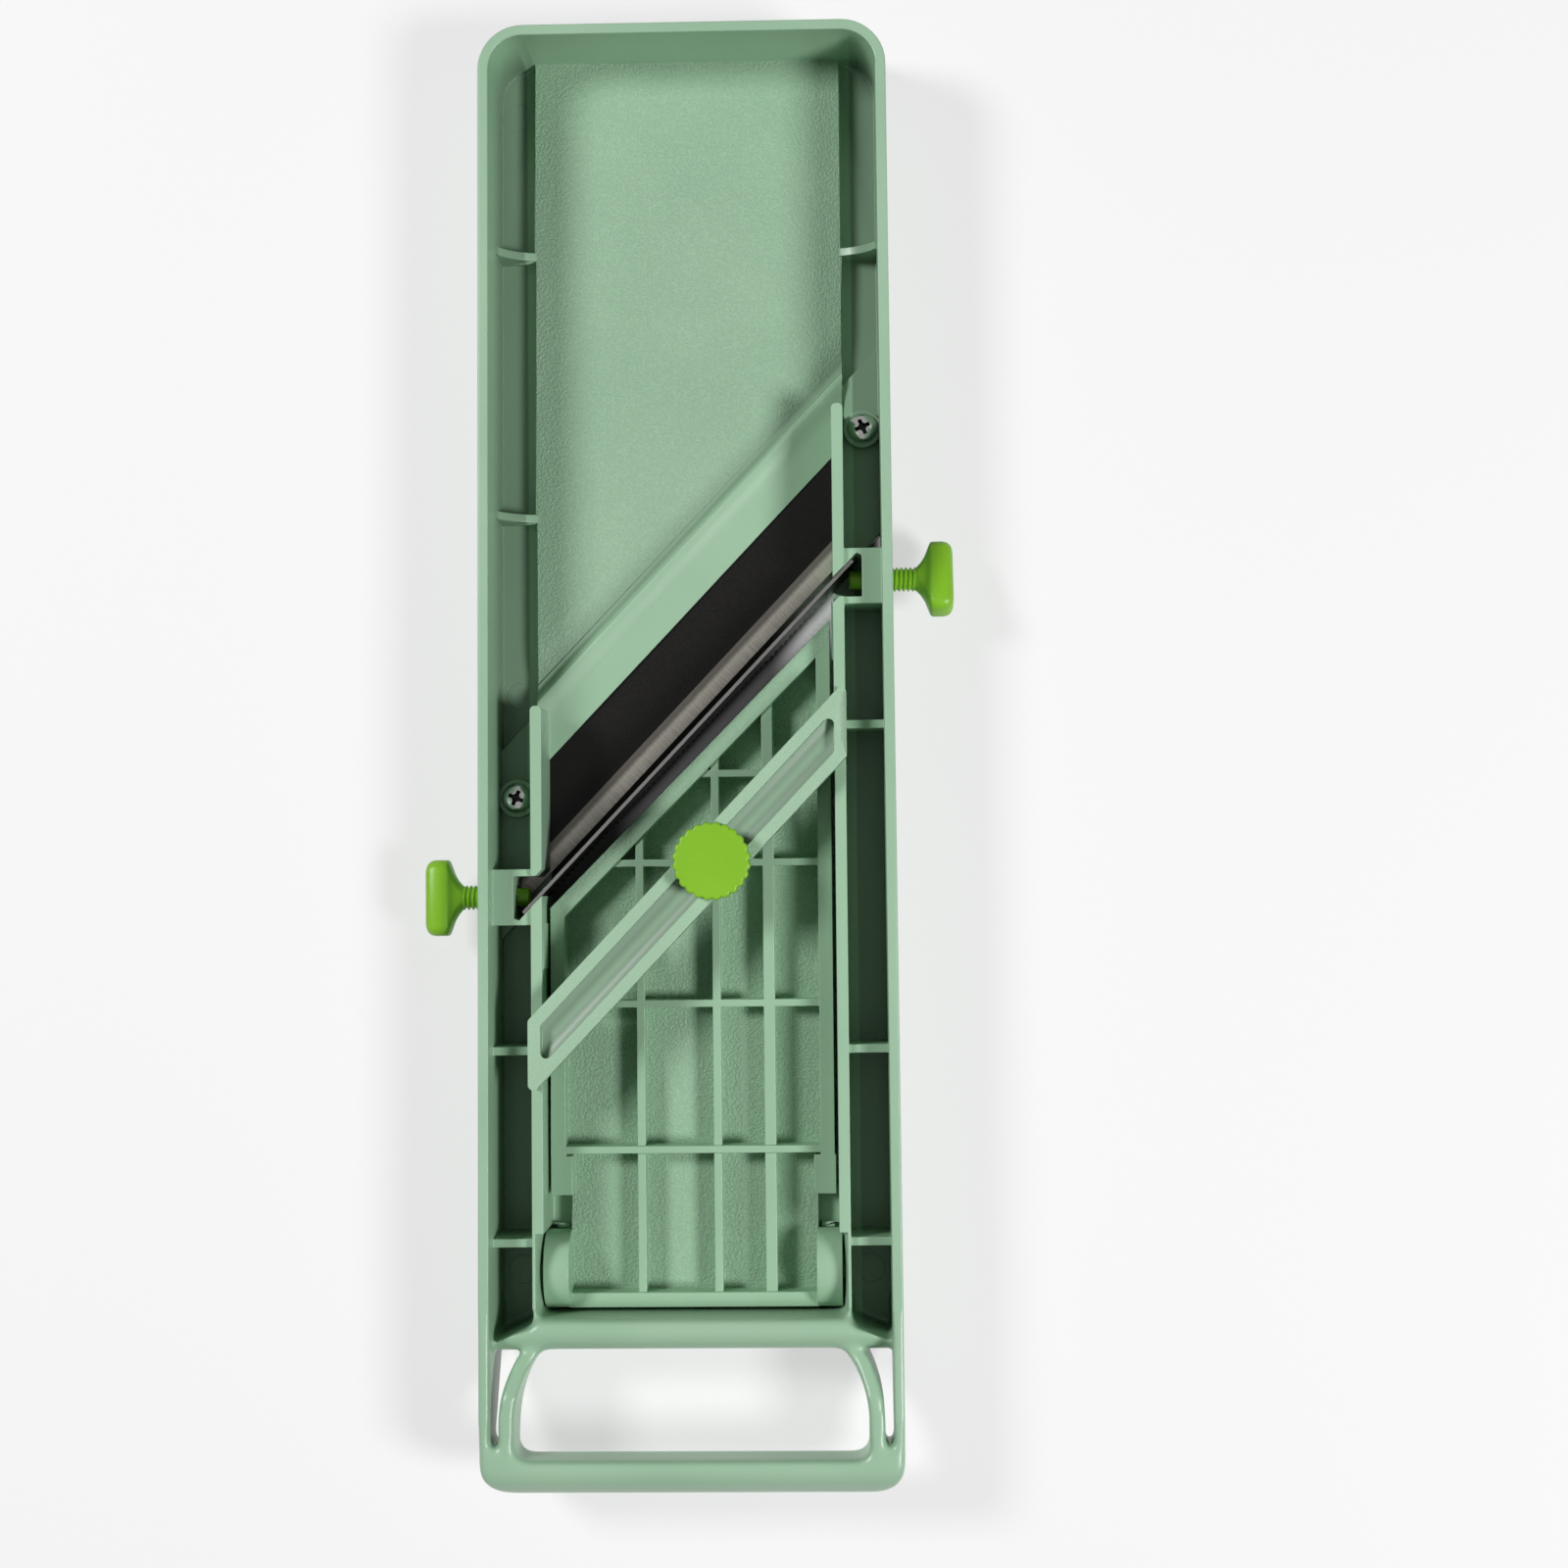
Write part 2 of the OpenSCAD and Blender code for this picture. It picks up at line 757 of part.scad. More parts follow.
module body_frame() {
    color([0.66, 0.83, 0.70])
        difference() {
            intersection() {
                union() {
                    linear_extrude(body_h)
                        difference() {
                            outline(0);
                            outline(wall);
                        }
                    inside_parts();
                    handle_loop();
                }
                across(body_w + 2)
                    side_view();
            }
            // food channel
            translate([-channel_x, skin_end_y, -1])
                cube([channel_w, big, channel_depth + 1]);
            blade_slot();
            edge_window();
            for (side = [-1, 1]) {
                translate(screw_at(side) + [0, 0, 0.8])
                    cylinder(r = screw_r + running, h = body_h);
                hub_recess(side);
                bar_catch(side);
            }
            clamp_pocket();
            clamp_bore();
            opposite() {
                clamp_pocket();
                clamp_bore();
            }
            // hinge bores
            translate([-rail_x - 1, pivot_y, hinge_z])
                rotate([0, 90, 0])
                    cylinder(r = stud_r + running, h = thin_rail_t + 2);
            translate([thin_x - 1, pivot_y, hinge_z])
                rotate([0, 90, 0])
                    cylinder(r = stud_r + running, h = thin_rail_t + 2);
        }
}

// ---------- main blade and its screws ----------

module main_blade() {
    color([0.20, 0.19, 0.18])
        difference() {
            intersection() {
                along_edge(big)
                    polygon([
                        [edge_offset, channel_depth],
                        [edge_offset, channel_depth + edge_t],
                        [edge_offset + bevel_w, blade_top],
                        [blade_back, blade_top],
                        [blade_back, channel_depth]]);
                translate([-blade_half, -big / 2, 0])
                    cube([2 * blade_half, big, body_h]);
            }
            for (side = [-1, 1])
                translate(screw_at(side))
                    cylinder(r = screw_r + running, h = body_h);
        }
}

module blade_screw(side) {
    dome = 0.9;
    color([0.78, 0.78, 0.76])
        translate(screw_at(side))
            difference() {
                union() {
                    translate([0, 0, 1])
                        cylinder(r = screw_r, h = screw_boss_z - 1);
                    translate([0, 0, screw_boss_z])
                        cylinder(r = screw_head_r, h = screw_head_h - dome);
                    translate([0, 0, screw_boss_z + screw_head_h - dome])
                        cylinder(r1 = screw_head_r, r2 = screw_head_r - 1.1, h = dome);
                }
                for (turn = [0, 90])
                    translate([0, 0, screw_boss_z + screw_head_h - cross_depth / 2])
                        rotate([0, 0, turn])
                            cube([cross_l, cross_w, cross_depth], center = true);
            }
}

// ---------- comb blade ----------

module comb_blade() {
    teeth = floor((channel_w / cos_blade - 3) / tooth_pitch);
    root_z = comb_tip_z + tooth_l;
    start = -teeth * tooth_pitch / 2;
    bottom = pocket_z + seat_gap;
    color([0.62, 0.61, 0.58])
        translate([0, comb_y, 0])
            rotate([0, 0, blade_angle])
                translate([0, comb_t / 2, 0])
                    rotate([90, 0, 0])
                        linear_extrude(comb_t)
                            polygon(concat(
                                [[-comb_l / 2, comb_back_z], [-comb_l / 2, bottom], [start - 1, bottom], [start - 1, root_z]],
                                [for (i = [0 : teeth - 1]) for (p = [[0.25, 0], [0.42, 1], [0.58, 1], [0.75, 0]])
                                    [start + (i + p[0]) * tooth_pitch, root_z - p[1] * tooth_l]],
                                [[-start + 1, root_z], [-start + 1, bottom], [comb_l / 2, bottom], [comb_l / 2, comb_back_z]]));
}

// ---------- feed plate ----------

// Plan of the plate in front of the shoulder, drawn in by an inset
module plate_plan(inset) {
    polygon([
        [-plate_x + inset, shoulder_y],
        [plate_x - inset, shoulder_y],
        [plate_x - inset, lead_y + (plate_x - inset) * tan(plate_angle)],
        [-plate_x + inset, lead_y - (plate_x - inset) * tan(plate_angle)]]);
}

// Room inside the rim
module plate_window() {
    intersection() {
        plate_plan(side_rim_w);
        translate([0, -lead_rim_w / cos(plate_angle)])
            plate_plan(0);
    }
}

module hinge_hub(side) {
    intersection() {
        translate([side > 0 ? neck_half_w : -hub_x, pivot_y, hinge_z])
            rotate([0, 90, 0])
                cylinder(r = hub_r, h = hub_l);
        translate([-big / 2, -big / 2, strip_t + 0.9])
            cube([big, big, big]);
    }
    translate([side > 0 ? hub_x - 1 : -rail_x + running, pivot_y, hinge_z])
        rotate([0, 90, 0])
            cylinder(r = stud_r, h = rail_x - running - hub_x + 1);
}

module feed_plate() {
    cross_ribs = [comb_y - first_rib_y, knob_y, knob_y - last_rib_y];
    long_ribs = [[-left_rib_x, slim_rib_t], [knob_x, slim_rib_t], [right_rib_x, wide_rib_t]];
    color([0.62, 0.80, 0.67])
        swung()
            difference() {
                union() {
                    translate([0, 0, channel_depth])
                        linear_extrude(plate_rim_h)
                            difference() {
                                plate_plan(0);
                                plate_window();
                            }
                    translate([0, 0, channel_depth])
                        linear_extrude(plate_skin)
                            plate_plan(0);
                    // flange ends and the narrow end between the hubs
                    for (side = [-1, 1])
                        translate([side > 0 ? neck_half_w - sink : -plate_x - 0.25, flange_y, channel_depth])
                            cube([plate_x + 0.25 - neck_half_w + sink, shoulder_y - flange_y + sink, plate_rim_h]);
                    translate([-neck_half_w - sink, plate_foot_y, channel_depth])
                        cube([2 * neck_half_w + 2 * sink, shoulder_y - plate_foot_y + sink, plate_skin]);
                    translate([-neck_half_w - sink, plate_foot_y, channel_depth])
                        cube([2 * neck_half_w + 2 * sink, foot_rib_t, plate_rim_h]);
                    // cross ribs
                    for (y = cross_ribs)
                        intersection() {
                            translate([-plate_x, y - rib_t / 2, channel_depth])
                                cube([2 * plate_x, rib_t, rib_h]);
                            translate([0, 0, channel_depth])
                                linear_extrude(plate_rim_h)
                                    plate_plan(1);
                        }
                    translate([-plate_x, shoulder_y + shoulder_rib_gap, channel_depth])
                        cube([2 * plate_x, rib_t, plate_rim_h]);
                    // ribs along the plate
                    for (rib = long_ribs)
                        intersection() {
                            translate([rib[0] - rib[1] / 2, plate_foot_y + 1, channel_depth])
                                cube([rib[1], big, rib_h]);
                            translate([0, 0, channel_depth])
                                linear_extrude(plate_rim_h)
                                    union() {
                                        plate_plan(1);
                                        translate([-neck_half_w, plate_foot_y])
                                            square([2 * neck_half_w, shoulder_y - plate_foot_y + 1]);
                                    }
                        }
                    // boss round the nut
                    translate([knob_x, knob_y, channel_depth])
                        cylinder(r = nut_boss_r, h = nut_boss_top - channel_depth);
                    hinge_hub(-1);
                    hinge_hub(1);
                }
                translate([knob_x, knob_y, nut_z])
                    nut_prism(seat_gap / 2, nut_boss_top);
                translate([knob_x, knob_y, channel_depth + 1])
                    cylinder(r = stem_r + swing_gap, h = nut_t);
            }
}

module nut_prism(gap, height) {
    cylinder(r = (nut_flats / 2 + gap) / cos(30), h = height, $fn = 6);
}

module adjusting_nut() {
    color([0.75, 0.62, 0.32])
        swung()
            translate([knob_x, knob_y, nut_z])
                difference() {
                    nut_prism(0, nut_t);
                    translate([0, 0, -1])
                        cylinder(r = stem_r + swing_gap, h = nut_t + 2);
                }
}

// ---------- bridge bar ----------

// Plan of the bar, drawn in by an inset
module bar_plan(inset) {
    half = rail_x + bar_overhang - inset;
    tip_round = 1.2;
    offset(r = tip_round)
        offset(delta = -tip_round)
            intersection() {
                rotate(blade_angle)
                    translate([-big / 2, bar_line - bar_w / 2 + inset])
                        square([big, bar_w - 2 * inset]);
                translate([-half, -big / 2])
                    square([2 * half, big]);
            }
}

// Middle of each end of the bar, along the body
function bar_end_y(side) = side * (channel_x + rail_t / 2) * tan_blade + bar_line / cos_blade;

// Foot that clips inside the rail
module bar_foot(side) {
    inner = channel_x - seat_gap;
    mirror([side > 0 ? 0 : 1, 0, 0])
        translate([inner - foot_t, bar_end_y(side) - foot_w / 2, foot_z]) {
            cube([foot_t, foot_w, rail_h - foot_z + sink]);
            cube([foot_t + seat_gap + nib, foot_w, nib_h]);
        }
}

// Recess in the rail that the foot's nib catches in
module bar_catch(side) {
    mirror([side > 0 ? 0 : 1, 0, 0])
        translate([channel_x - 1, bar_end_y(side) - foot_w / 2 - seat_gap, foot_z - seat_gap])
            cube([1 + nib + seat_gap, foot_w + 2 * seat_gap, nib_h + 2 * seat_gap]);
}

// Trough in the bar's top, deepest along its middle
module bar_trough() {
    half = bar_w / 2 - bar_edge_w;
    reach = half + 0.5;
    round_r = (half * half + trough_dip * trough_dip) / (2 * trough_dip);
    spread = asin(reach / round_r);
    intersection() {
        linear_extrude(body_h)
            bar_plan(bar_edge_w);
        along_edge(big)
            polygon(concat(
                arc([bar_line, bar_floor_z + round_r], round_r, 270 - spread, 270 + spread, 10),
                [[bar_line + reach, body_h], [bar_line - reach, body_h]]));
    }
}

module bridge_bar() {
    color([0.70, 0.86, 0.74])
        difference() {
            union() {
                translate([0, 0, rail_h])
                    linear_extrude(bar_h)
                        bar_plan(0);
                bar_foot(-1);
                bar_foot(1);
            }
            bar_trough();
            translate([knob_x, knob_y, rail_h - 1])
                cylinder(r = stem_r + running, h = bar_h);
        }
}

// ---------- adjusting knob, stem and clip ----------

module adjusting_knob() {
    color([0.53, 0.78, 0.16])
        translate([knob_x, knob_y, 0])
            difference() {
                translate([0, 0, bar_top + seat_gap])
                    cylinder(r = knob_r, h = knob_h);
                for (i = [0 : knob_notches - 1])
                    rotate([0, 0, i * 360 / knob_notches])
                        translate([knob_r + notch_r * 0.45, 0, bar_top - 1])
                            cylinder(r = notch_r, h = knob_h + 3, $fn = 20);
                translate([0, 0, bar_top - 1])
                    cylinder(r = stem_r, h = stem_hold + 1);
            }
}

module adjusting_stem() {
    color([0.70, 0.70, 0.68])
        translate([knob_x, knob_y, 0])
            difference() {
                translate([0, 0, stem_end_z])
                    cylinder(r = stem_r, h = bar_top + stem_hold - stem_end_z);
                translate([0, 0, clip_top - clip_t - running])
                    difference() {
                        cylinder(r = stem_r + 1, h = clip_t + 2 * running);
                        translate([0, 0, -1])
                            cylinder(r = groove_r, h = clip_t + 3);
                    }
            }
}

module retaining_clip() {
    mouth = groove_r * 1.5;
    color([0.45, 0.45, 0.45])
        translate([knob_x, knob_y, clip_top - clip_t])
            difference() {
                cylinder(r = clip_r, h = clip_t);
                translate([0, 0, -1])
                    cylinder(r = groove_r + running / 2, h = clip_t + 2);
                translate([0, -mouth / 2, -1])
                    cube([clip_r + 1, mouth, clip_t + 2]);
            }
}

// ---------- comb clamp screws ----------

// Clamp screw on the left side, its wing turned from level about its own axis
module clamp_screw(turn) {
    head_x = shank_x + clamp_shank_l + flare_l;
    color([0.53, 0.78, 0.16])
        translate([0, comb_y - clamp_y, clamp_z])
            rotate([turn, 0, 0])
                rotate([0, -90, 0])
                    difference() {
                        union() {
                            translate([0, 0, shank_x + running])
                                cylinder(r = clamp_r, h = head_x - shank_x);
                            hull() {
                                translate([0, 0, head_x - flare_l])
                                    cylinder(r = clamp_r, h = sink);
                                translate([0, 0, head_x - 0.4 * flare_l])
                                    linear_extrude(sink)
                                        wing_plan(2 * clamp_r, wing_l - 1);
                                translate([0, 0, head_x])
                                    linear_extrude(wing_t)
                                        wing_plan(wing_w, wing_l);
                            }
                        }
                        translate([0, 0, shank_x - 1])
                            cylinder(r = spigot_r + running, h = spigot_l + 1.3);
                    }
}

// Outline of the wing head
module wing_plan(width, length) {
    round_r = 2.2;
    hull()
        for (side = [-1, 1])
            for (edge = [-1, 1])
                translate([edge * (width / 2 - round_r), side * (length / 2 - round_r)])
                    circle(r = round_r);
}

// Plain tip that presses on the comb
module clamp_tip() {
    chamfer = 0.3;
    color([0.50, 0.74, 0.15])
        translate([0, comb_y - clamp_y, clamp_z])
            rotate([0, -90, 0]) {
                translate([0, 0, tip_x])
                    cylinder(r1 = tip_r - chamfer, r2 = tip_r, h = chamfer);
                translate([0, 0, tip_x + chamfer])
                    cylinder(r = tip_r, h = tip_l - chamfer);
                translate([0, 0, shank_x - running])
                    cylinder(r = spigot_r, h = spigot_l + running);
            }
}

body_frame();
main_blade();
blade_screw(1);  // blade_screw_upper
blade_screw(-1);  // blade_screw_lower
comb_blade();
feed_plate();
adjusting_nut();
bridge_bar();
adjusting_knob();
adjusting_stem();
retaining_clip();
clamp_screw(0);  // clamp_screw_left
clamp_tip();  // clamp_tip_left
opposite() clamp_screw(right_wing_turn);  // clamp_screw_right
opposite() clamp_tip();  // clamp_tip_right
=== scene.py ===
import json
import math
import bmesh
import bpy
from mathutils import Euler, Matrix, Vector


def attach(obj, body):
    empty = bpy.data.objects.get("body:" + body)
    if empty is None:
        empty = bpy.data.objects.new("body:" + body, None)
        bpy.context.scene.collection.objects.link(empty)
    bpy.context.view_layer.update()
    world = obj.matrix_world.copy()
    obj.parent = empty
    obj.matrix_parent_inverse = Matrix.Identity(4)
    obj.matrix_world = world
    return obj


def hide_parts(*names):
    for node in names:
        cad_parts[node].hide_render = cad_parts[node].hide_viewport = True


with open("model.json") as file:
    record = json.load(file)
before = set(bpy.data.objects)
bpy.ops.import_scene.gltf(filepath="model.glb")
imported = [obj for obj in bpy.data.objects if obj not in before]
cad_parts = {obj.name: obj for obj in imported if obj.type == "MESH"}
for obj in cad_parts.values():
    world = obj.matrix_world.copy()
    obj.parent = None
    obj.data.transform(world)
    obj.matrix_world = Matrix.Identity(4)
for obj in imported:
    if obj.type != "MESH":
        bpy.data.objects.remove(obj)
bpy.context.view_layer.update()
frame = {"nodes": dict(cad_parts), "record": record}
scene = bpy.context.scene
mm = 0.001
print("frame loaded")


# Camera, with its place in millimetres and its turn in radians

camera = {"place": (34.93, -32.02, 548.55), "turn": (0.0467, 0.02702, -0.00945),
          "lens": 55.94, "sensor": 36, "nearest": 0.01, "farthest": 50}


def addCamera(c):
    data = bpy.data.cameras.new("camera")
    data.lens = c["lens"]
    data.sensor_width = c["sensor"]
    data.clip_start = c["nearest"]
    data.clip_end = c["farthest"]
    data.dof.use_dof = False
    eye = bpy.data.objects.new("camera", data)
    eye.location = Vector(c["place"]) * mm
    eye.rotation_euler = Euler(c["turn"], "XYZ")
    scene.collection.objects.link(eye)
    scene.camera = eye


addCamera(camera)


# Node helpers

def addNode(tree, kind, **values):
    node = tree.nodes.new(kind)
    for key, value in values.items():
        setattr(node, key, value)
    return node


def connect(tree, source, target):
    if isinstance(source, (int, float)):
        target.default_value = source
    else:
        tree.links.new(source, target)


def feed(tree, node, values):
    # sets or links the inputs by their labels
    for label, value in values.items():
        connect(tree, value, node.inputs[label])
    return node.outputs


def sums(tree, operation, a, b=None, c=None):
    node = addNode(tree, "ShaderNodeMath", operation=operation)
    for value, socket in zip((a, b, c), node.inputs):
        if value is not None:
            connect(tree, value, socket)
    return node.outputs[0]


def product(tree, result, *others):
    for other in others:
        result = sums(tree, "MULTIPLY", result, other)
    return result


def ramp(tree, value, low, high, toLow=0.0, toHigh=1.0):
    node = addNode(tree, "ShaderNodeMapRange", interpolation_type="SMOOTHSTEP")
    return feed(tree, node, {"Value": value, "From Min": low, "From Max": high,
                             "To Min": toLow, "To Max": toHigh})["Result"]


def newGroup(name, inputs, outputs):
    # an input without a default is a vector, and everything else is a float
    tree = bpy.data.node_groups.new(name, "ShaderNodeTree")
    for label, default in inputs.items():
        kind = "NodeSocketVector" if default is None else "NodeSocketFloat"
        socket = tree.interface.new_socket(label, in_out="INPUT", socket_type=kind)
        if default is not None:
            socket.default_value = default
    for label in outputs:
        tree.interface.new_socket(label, in_out="OUTPUT", socket_type="NodeSocketFloat")
    source = tree.nodes.new("NodeGroupInput")
    drain = tree.nodes.new("NodeGroupOutput")
    return tree, source.outputs, drain.inputs


def useGroup(tree, group, **values):
    return feed(tree, addNode(tree, "ShaderNodeGroup", node_tree=group), values)


def parts(tree, vector):
    node = addNode(tree, "ShaderNodeSeparateXYZ")
    connect(tree, vector, node.inputs[0])
    return node.outputs


def mixColour(tree, factor, a, b):
    node = addNode(tree, "ShaderNodeMix", data_type="RGBA")
    connect(tree, factor, node.inputs[0])
    for value, socket in ((a, node.inputs[6]), (b, node.inputs[7])):
        if isinstance(value, tuple):
            socket.default_value = (*value, 1)
        else:
            tree.links.new(value, socket)
    return node.outputs[2]


def dimmed(colour, amount):
    return tuple(amount * c for c in colour)


# Studio, in metres and watts, but with the painted shadow under the body in millimetres

studio = {
    "key": {"place": (-0.80, 0.34, 0.88), "size": 0.34, "power": 8.8},
    "fill": {"place": (0.78, -0.30, 0.88), "size": 0.34, "power": 9.2},
    "sky": 0.07,
    "shine": 0.35,
    "floor": {"colour": (0.90, 0.90, 0.90), "size": 4.0, "sink": 0.0001, "roughness": 0.8, "glow": 0.58},
    "far": {"glow": 0.97, "start": 0.26, "end": 0.8},
    # a shadow painted on the floor under the body, fading out towards the right
    "paintedFloorShadow": {"halfWidth": 45, "middle": -17, "halfLength": 99, "edge": 4, "shade": 0.12,
                  "lightFrom": 17, "lightTo": 27},
}


def addLamp(name, spec):
    data = bpy.data.lights.new(name, "AREA")
    data.shape = "DISK"
    data.size = spec["size"]
    data.energy = spec["power"]
    lamp = bpy.data.objects.new(name, data)
    lamp.location = spec["place"]
    lamp.rotation_euler = (-Vector(spec["place"])).to_track_quat("-Z", "Y").to_euler()
    scene.collection.objects.link(lamp)


def seesBackdrop(tree, shine=1.0):
    # the rays that look at the backdrop, as against those that it lights
    rays = tree.nodes.new("ShaderNodeLightPath").outputs
    shiny = product(tree, rays["Is Glossy Ray"], shine)
    return sums(tree, "MAXIMUM", rays["Is Camera Ray"],
                sums(tree, "MAXIMUM", shiny, rays["Is Transmission Ray"]))


def mixShaders(tree, factor, a, b, target):
    mix = tree.nodes.new("ShaderNodeMixShader")
    connect(tree, factor, mix.inputs[0])
    tree.links.new(a.outputs[0], mix.inputs[1])
    tree.links.new(b.outputs[0], mix.inputs[2])
    tree.links.new(mix.outputs[0], target)


def floorPaint(floor, far, floorShadow):
    # the floor looks paler than the one that takes the light, but not under the body, where a shadow is
    # painted
    paint = bpy.data.materials.new("floorPaint")
    paint.use_nodes = True
    tree = paint.node_tree
    shader = tree.nodes["Principled BSDF"]
    shader.inputs["Roughness"].default_value = floor["roughness"]
    x, y, z = parts(tree, tree.nodes.new("ShaderNodeTexCoord").outputs["Object"])
    offX = sums(tree, "ABSOLUTE", x)
    offY = sums(tree, "ABSOLUTE", sums(tree, "SUBTRACT", y, floorShadow["middle"] * mm))
    pastX, pastY = (ramp(tree, off, (reach - floorShadow["edge"]) * mm, reach * mm)
                    for off, reach in ((offX, floorShadow["halfWidth"]), (offY, floorShadow["halfLength"])))
    outside = sums(tree, "MAXIMUM", pastX, pastY)
    distance = sums(tree, "SQRT", sums(tree, "MULTIPLY_ADD", x, x, product(tree, y, y)))
    white = ramp(tree, distance, far["start"], far["end"], floor["glow"], far["glow"])
    # the painted shadow covers the patch but for its right end
    lit = sums(tree, "MAXIMUM", outside, ramp(tree, x, floorShadow["lightFrom"] * mm, floorShadow["lightTo"] * mm))
    colour = mixColour(tree, lit, dimmed(floor["colour"], floorShadow["shade"]), floor["colour"])
    tree.links.new(colour, shader.inputs["Base Color"])
    mixShaders(tree, product(tree, seesBackdrop(tree), outside, white), shader,
               tree.nodes.new("ShaderNodeEmission"), tree.nodes["Material Output"].inputs["Surface"])
    return paint


def addStudio(s):
    addLamp("key", s["key"])
    addLamp("fill", s["fill"])
    world = bpy.data.worlds.new("studio")
    world.use_nodes = True
    scene.world = world
    tree = world.node_tree
    tree.nodes.clear()
    light = tree.nodes.new("ShaderNodeBackground")
    light.inputs["Strength"].default_value = s["sky"]
    white = tree.nodes.new("ShaderNodeBackground")
    white.inputs["Color"].default_value = (1, 1, 1, 1)
    out = tree.nodes.new("ShaderNodeOutputWorld")
    mixShaders(tree, seesBackdrop(tree, s["shine"]), light, white, out.inputs[0])
    bm = bmesh.new()
    bmesh.ops.create_grid(bm, x_segments=1, y_segments=1, size=s["floor"]["size"] / 2)
    mesh = bpy.data.meshes.new("floor")
    bm.to_mesh(mesh)
    bm.free()
    mesh.transform(Matrix.Translation((0, 0, -s["floor"]["sink"])))
    floor = bpy.data.objects.new("floor", mesh)
    scene.collection.objects.link(floor)
    mesh.materials.append(floorPaint(s["floor"], s["far"], s["paintedFloorShadow"]))


addStudio(studio)
scene.view_settings.view_transform = "Standard"
print("studio ready")


# Shared effects
# pebble is the moulded grain, mottle a slow change of shade, ring the mark of an ejector pin

effects = {
    "pebble": {"coarse": (1.5, 0.45), "finer": 2.3, "fineDetail": 1.0, "finePart": 0.35,
               "low": 0.40, "high": 0.98},
    "mottle": {"detail": 3.0, "low": 0.3, "high": 0.7},
    "ring": {"outer": 0.24, "inner": 0.04},
}


def noise(tree, vector, scale, detail=2.0, roughness=0.5):
    node = addNode(tree, "ShaderNodeTexNoise", noise_dimensions="3D")
    values = {"Vector": vector, "Scale": scale, "Detail": detail, "Roughness": roughness}
    return feed(tree, node, values)[0]


def pebbleGroup(p):
    # rounded bumps of uneven size
    tree, given, out = newGroup("pebble", {"Vector": None, "Size": 1.0}, ["Height"])
    scale = sums(tree, "DIVIDE", 1000.0, given["Size"])
    coarse = noise(tree, given["Vector"], scale, *p["coarse"])
    fine = noise(tree, given["Vector"], product(tree, scale, p["finer"]), p["fineDetail"])
    both = sums(tree, "MULTIPLY_ADD", fine, p["finePart"], coarse)
    connect(tree, ramp(tree, both, p["low"], p["high"]), out["Height"])
    return tree


def mottleGroup(m):
    tree, given, out = newGroup("mottle", {"Vector": None, "Size": 30.0}, ["Mask"])
    shade = noise(tree, given["Vector"], sums(tree, "DIVIDE", 1000.0, given["Size"]), m["detail"])
    connect(tree, ramp(tree, shade, m["low"], m["high"]), out["Mask"])
    return tree


def slantSpaceGroup():
    # Across is the distance square to a slanted line, Along runs beside it, both in millimetres
    tree, given, out = newGroup("slantSpace", {"Vector": None, "Angle": 0.8},
                                ["Across", "Along", "Height"])
    x, y, z = (product(tree, axis, 1000.0) for axis in parts(tree, given["Vector"]))
    c = sums(tree, "COSINE", given["Angle"])
    s = sums(tree, "SINE", given["Angle"])
    connect(tree, sums(tree, "SUBTRACT", product(tree, y, c), product(tree, x, s)), out["Across"])
    connect(tree, sums(tree, "MULTIPLY_ADD", x, c, product(tree, y, s)), out["Along"])
    connect(tree, z, out["Height"])
    return tree


def ringMarkGroup(r):
    # the centre is given in millimetres
    inputs = {"Vector": None, "X": 0.0, "Y": 0.0, "Radius": 3.0}
    tree, given, out = newGroup("ringMark", inputs, ["Depth"])
    axes = parts(tree, given["Vector"])
    dx, dy = (sums(tree, "SUBTRACT", product(tree, axis, 1000.0), given[label])
              for axis, label in ((axes[0], "X"), (axes[1], "Y")))
    reach = sums(tree, "SQRT", sums(tree, "MULTIPLY_ADD", dx, dx, product(tree, dy, dy)))
    off = sums(tree, "ABSOLUTE", sums(tree, "SUBTRACT", reach, given["Radius"]))
    connect(tree, ramp(tree, off, r["outer"], r["inner"]), out["Depth"])
    return tree


bladeAngle = math.radians(46.5)  # the blade, the lip and the ridge all run along this slant
pebble = pebbleGroup(effects["pebble"])
mottle = mottleGroup(effects["mottle"])
slantSpace = slantSpaceGroup()
ringMark = ringMarkGroup(effects["ring"])


def newMaterial(name, roughness, metallic=0.0, specular=0.5):
    material = bpy.data.materials.new(name)
    material.use_nodes = True
    tree = material.node_tree
    shader = tree.nodes["Principled BSDF"]
    shader.inputs["Roughness"].default_value = roughness
    shader.inputs["Metallic"].default_value = metallic
    shader.inputs["Specular IOR Level"].default_value = specular
    place = addNode(tree, "ShaderNodeTexCoord").outputs["Object"]
    return material, tree, shader, place


def bump(tree, height, shader, distance):
    node = addNode(tree, "ShaderNodeBump")
    node.inputs["Distance"].default_value = distance * mm
    connect(tree, height, node.inputs["Height"])
    tree.links.new(node.outputs[0], shader.inputs["Normal"])


# Plastic
# grain and depth are in millimetres, one share paints shade into the grain's pits and another paints
# shade on the smooth part, and matte is the roughness of the grained part

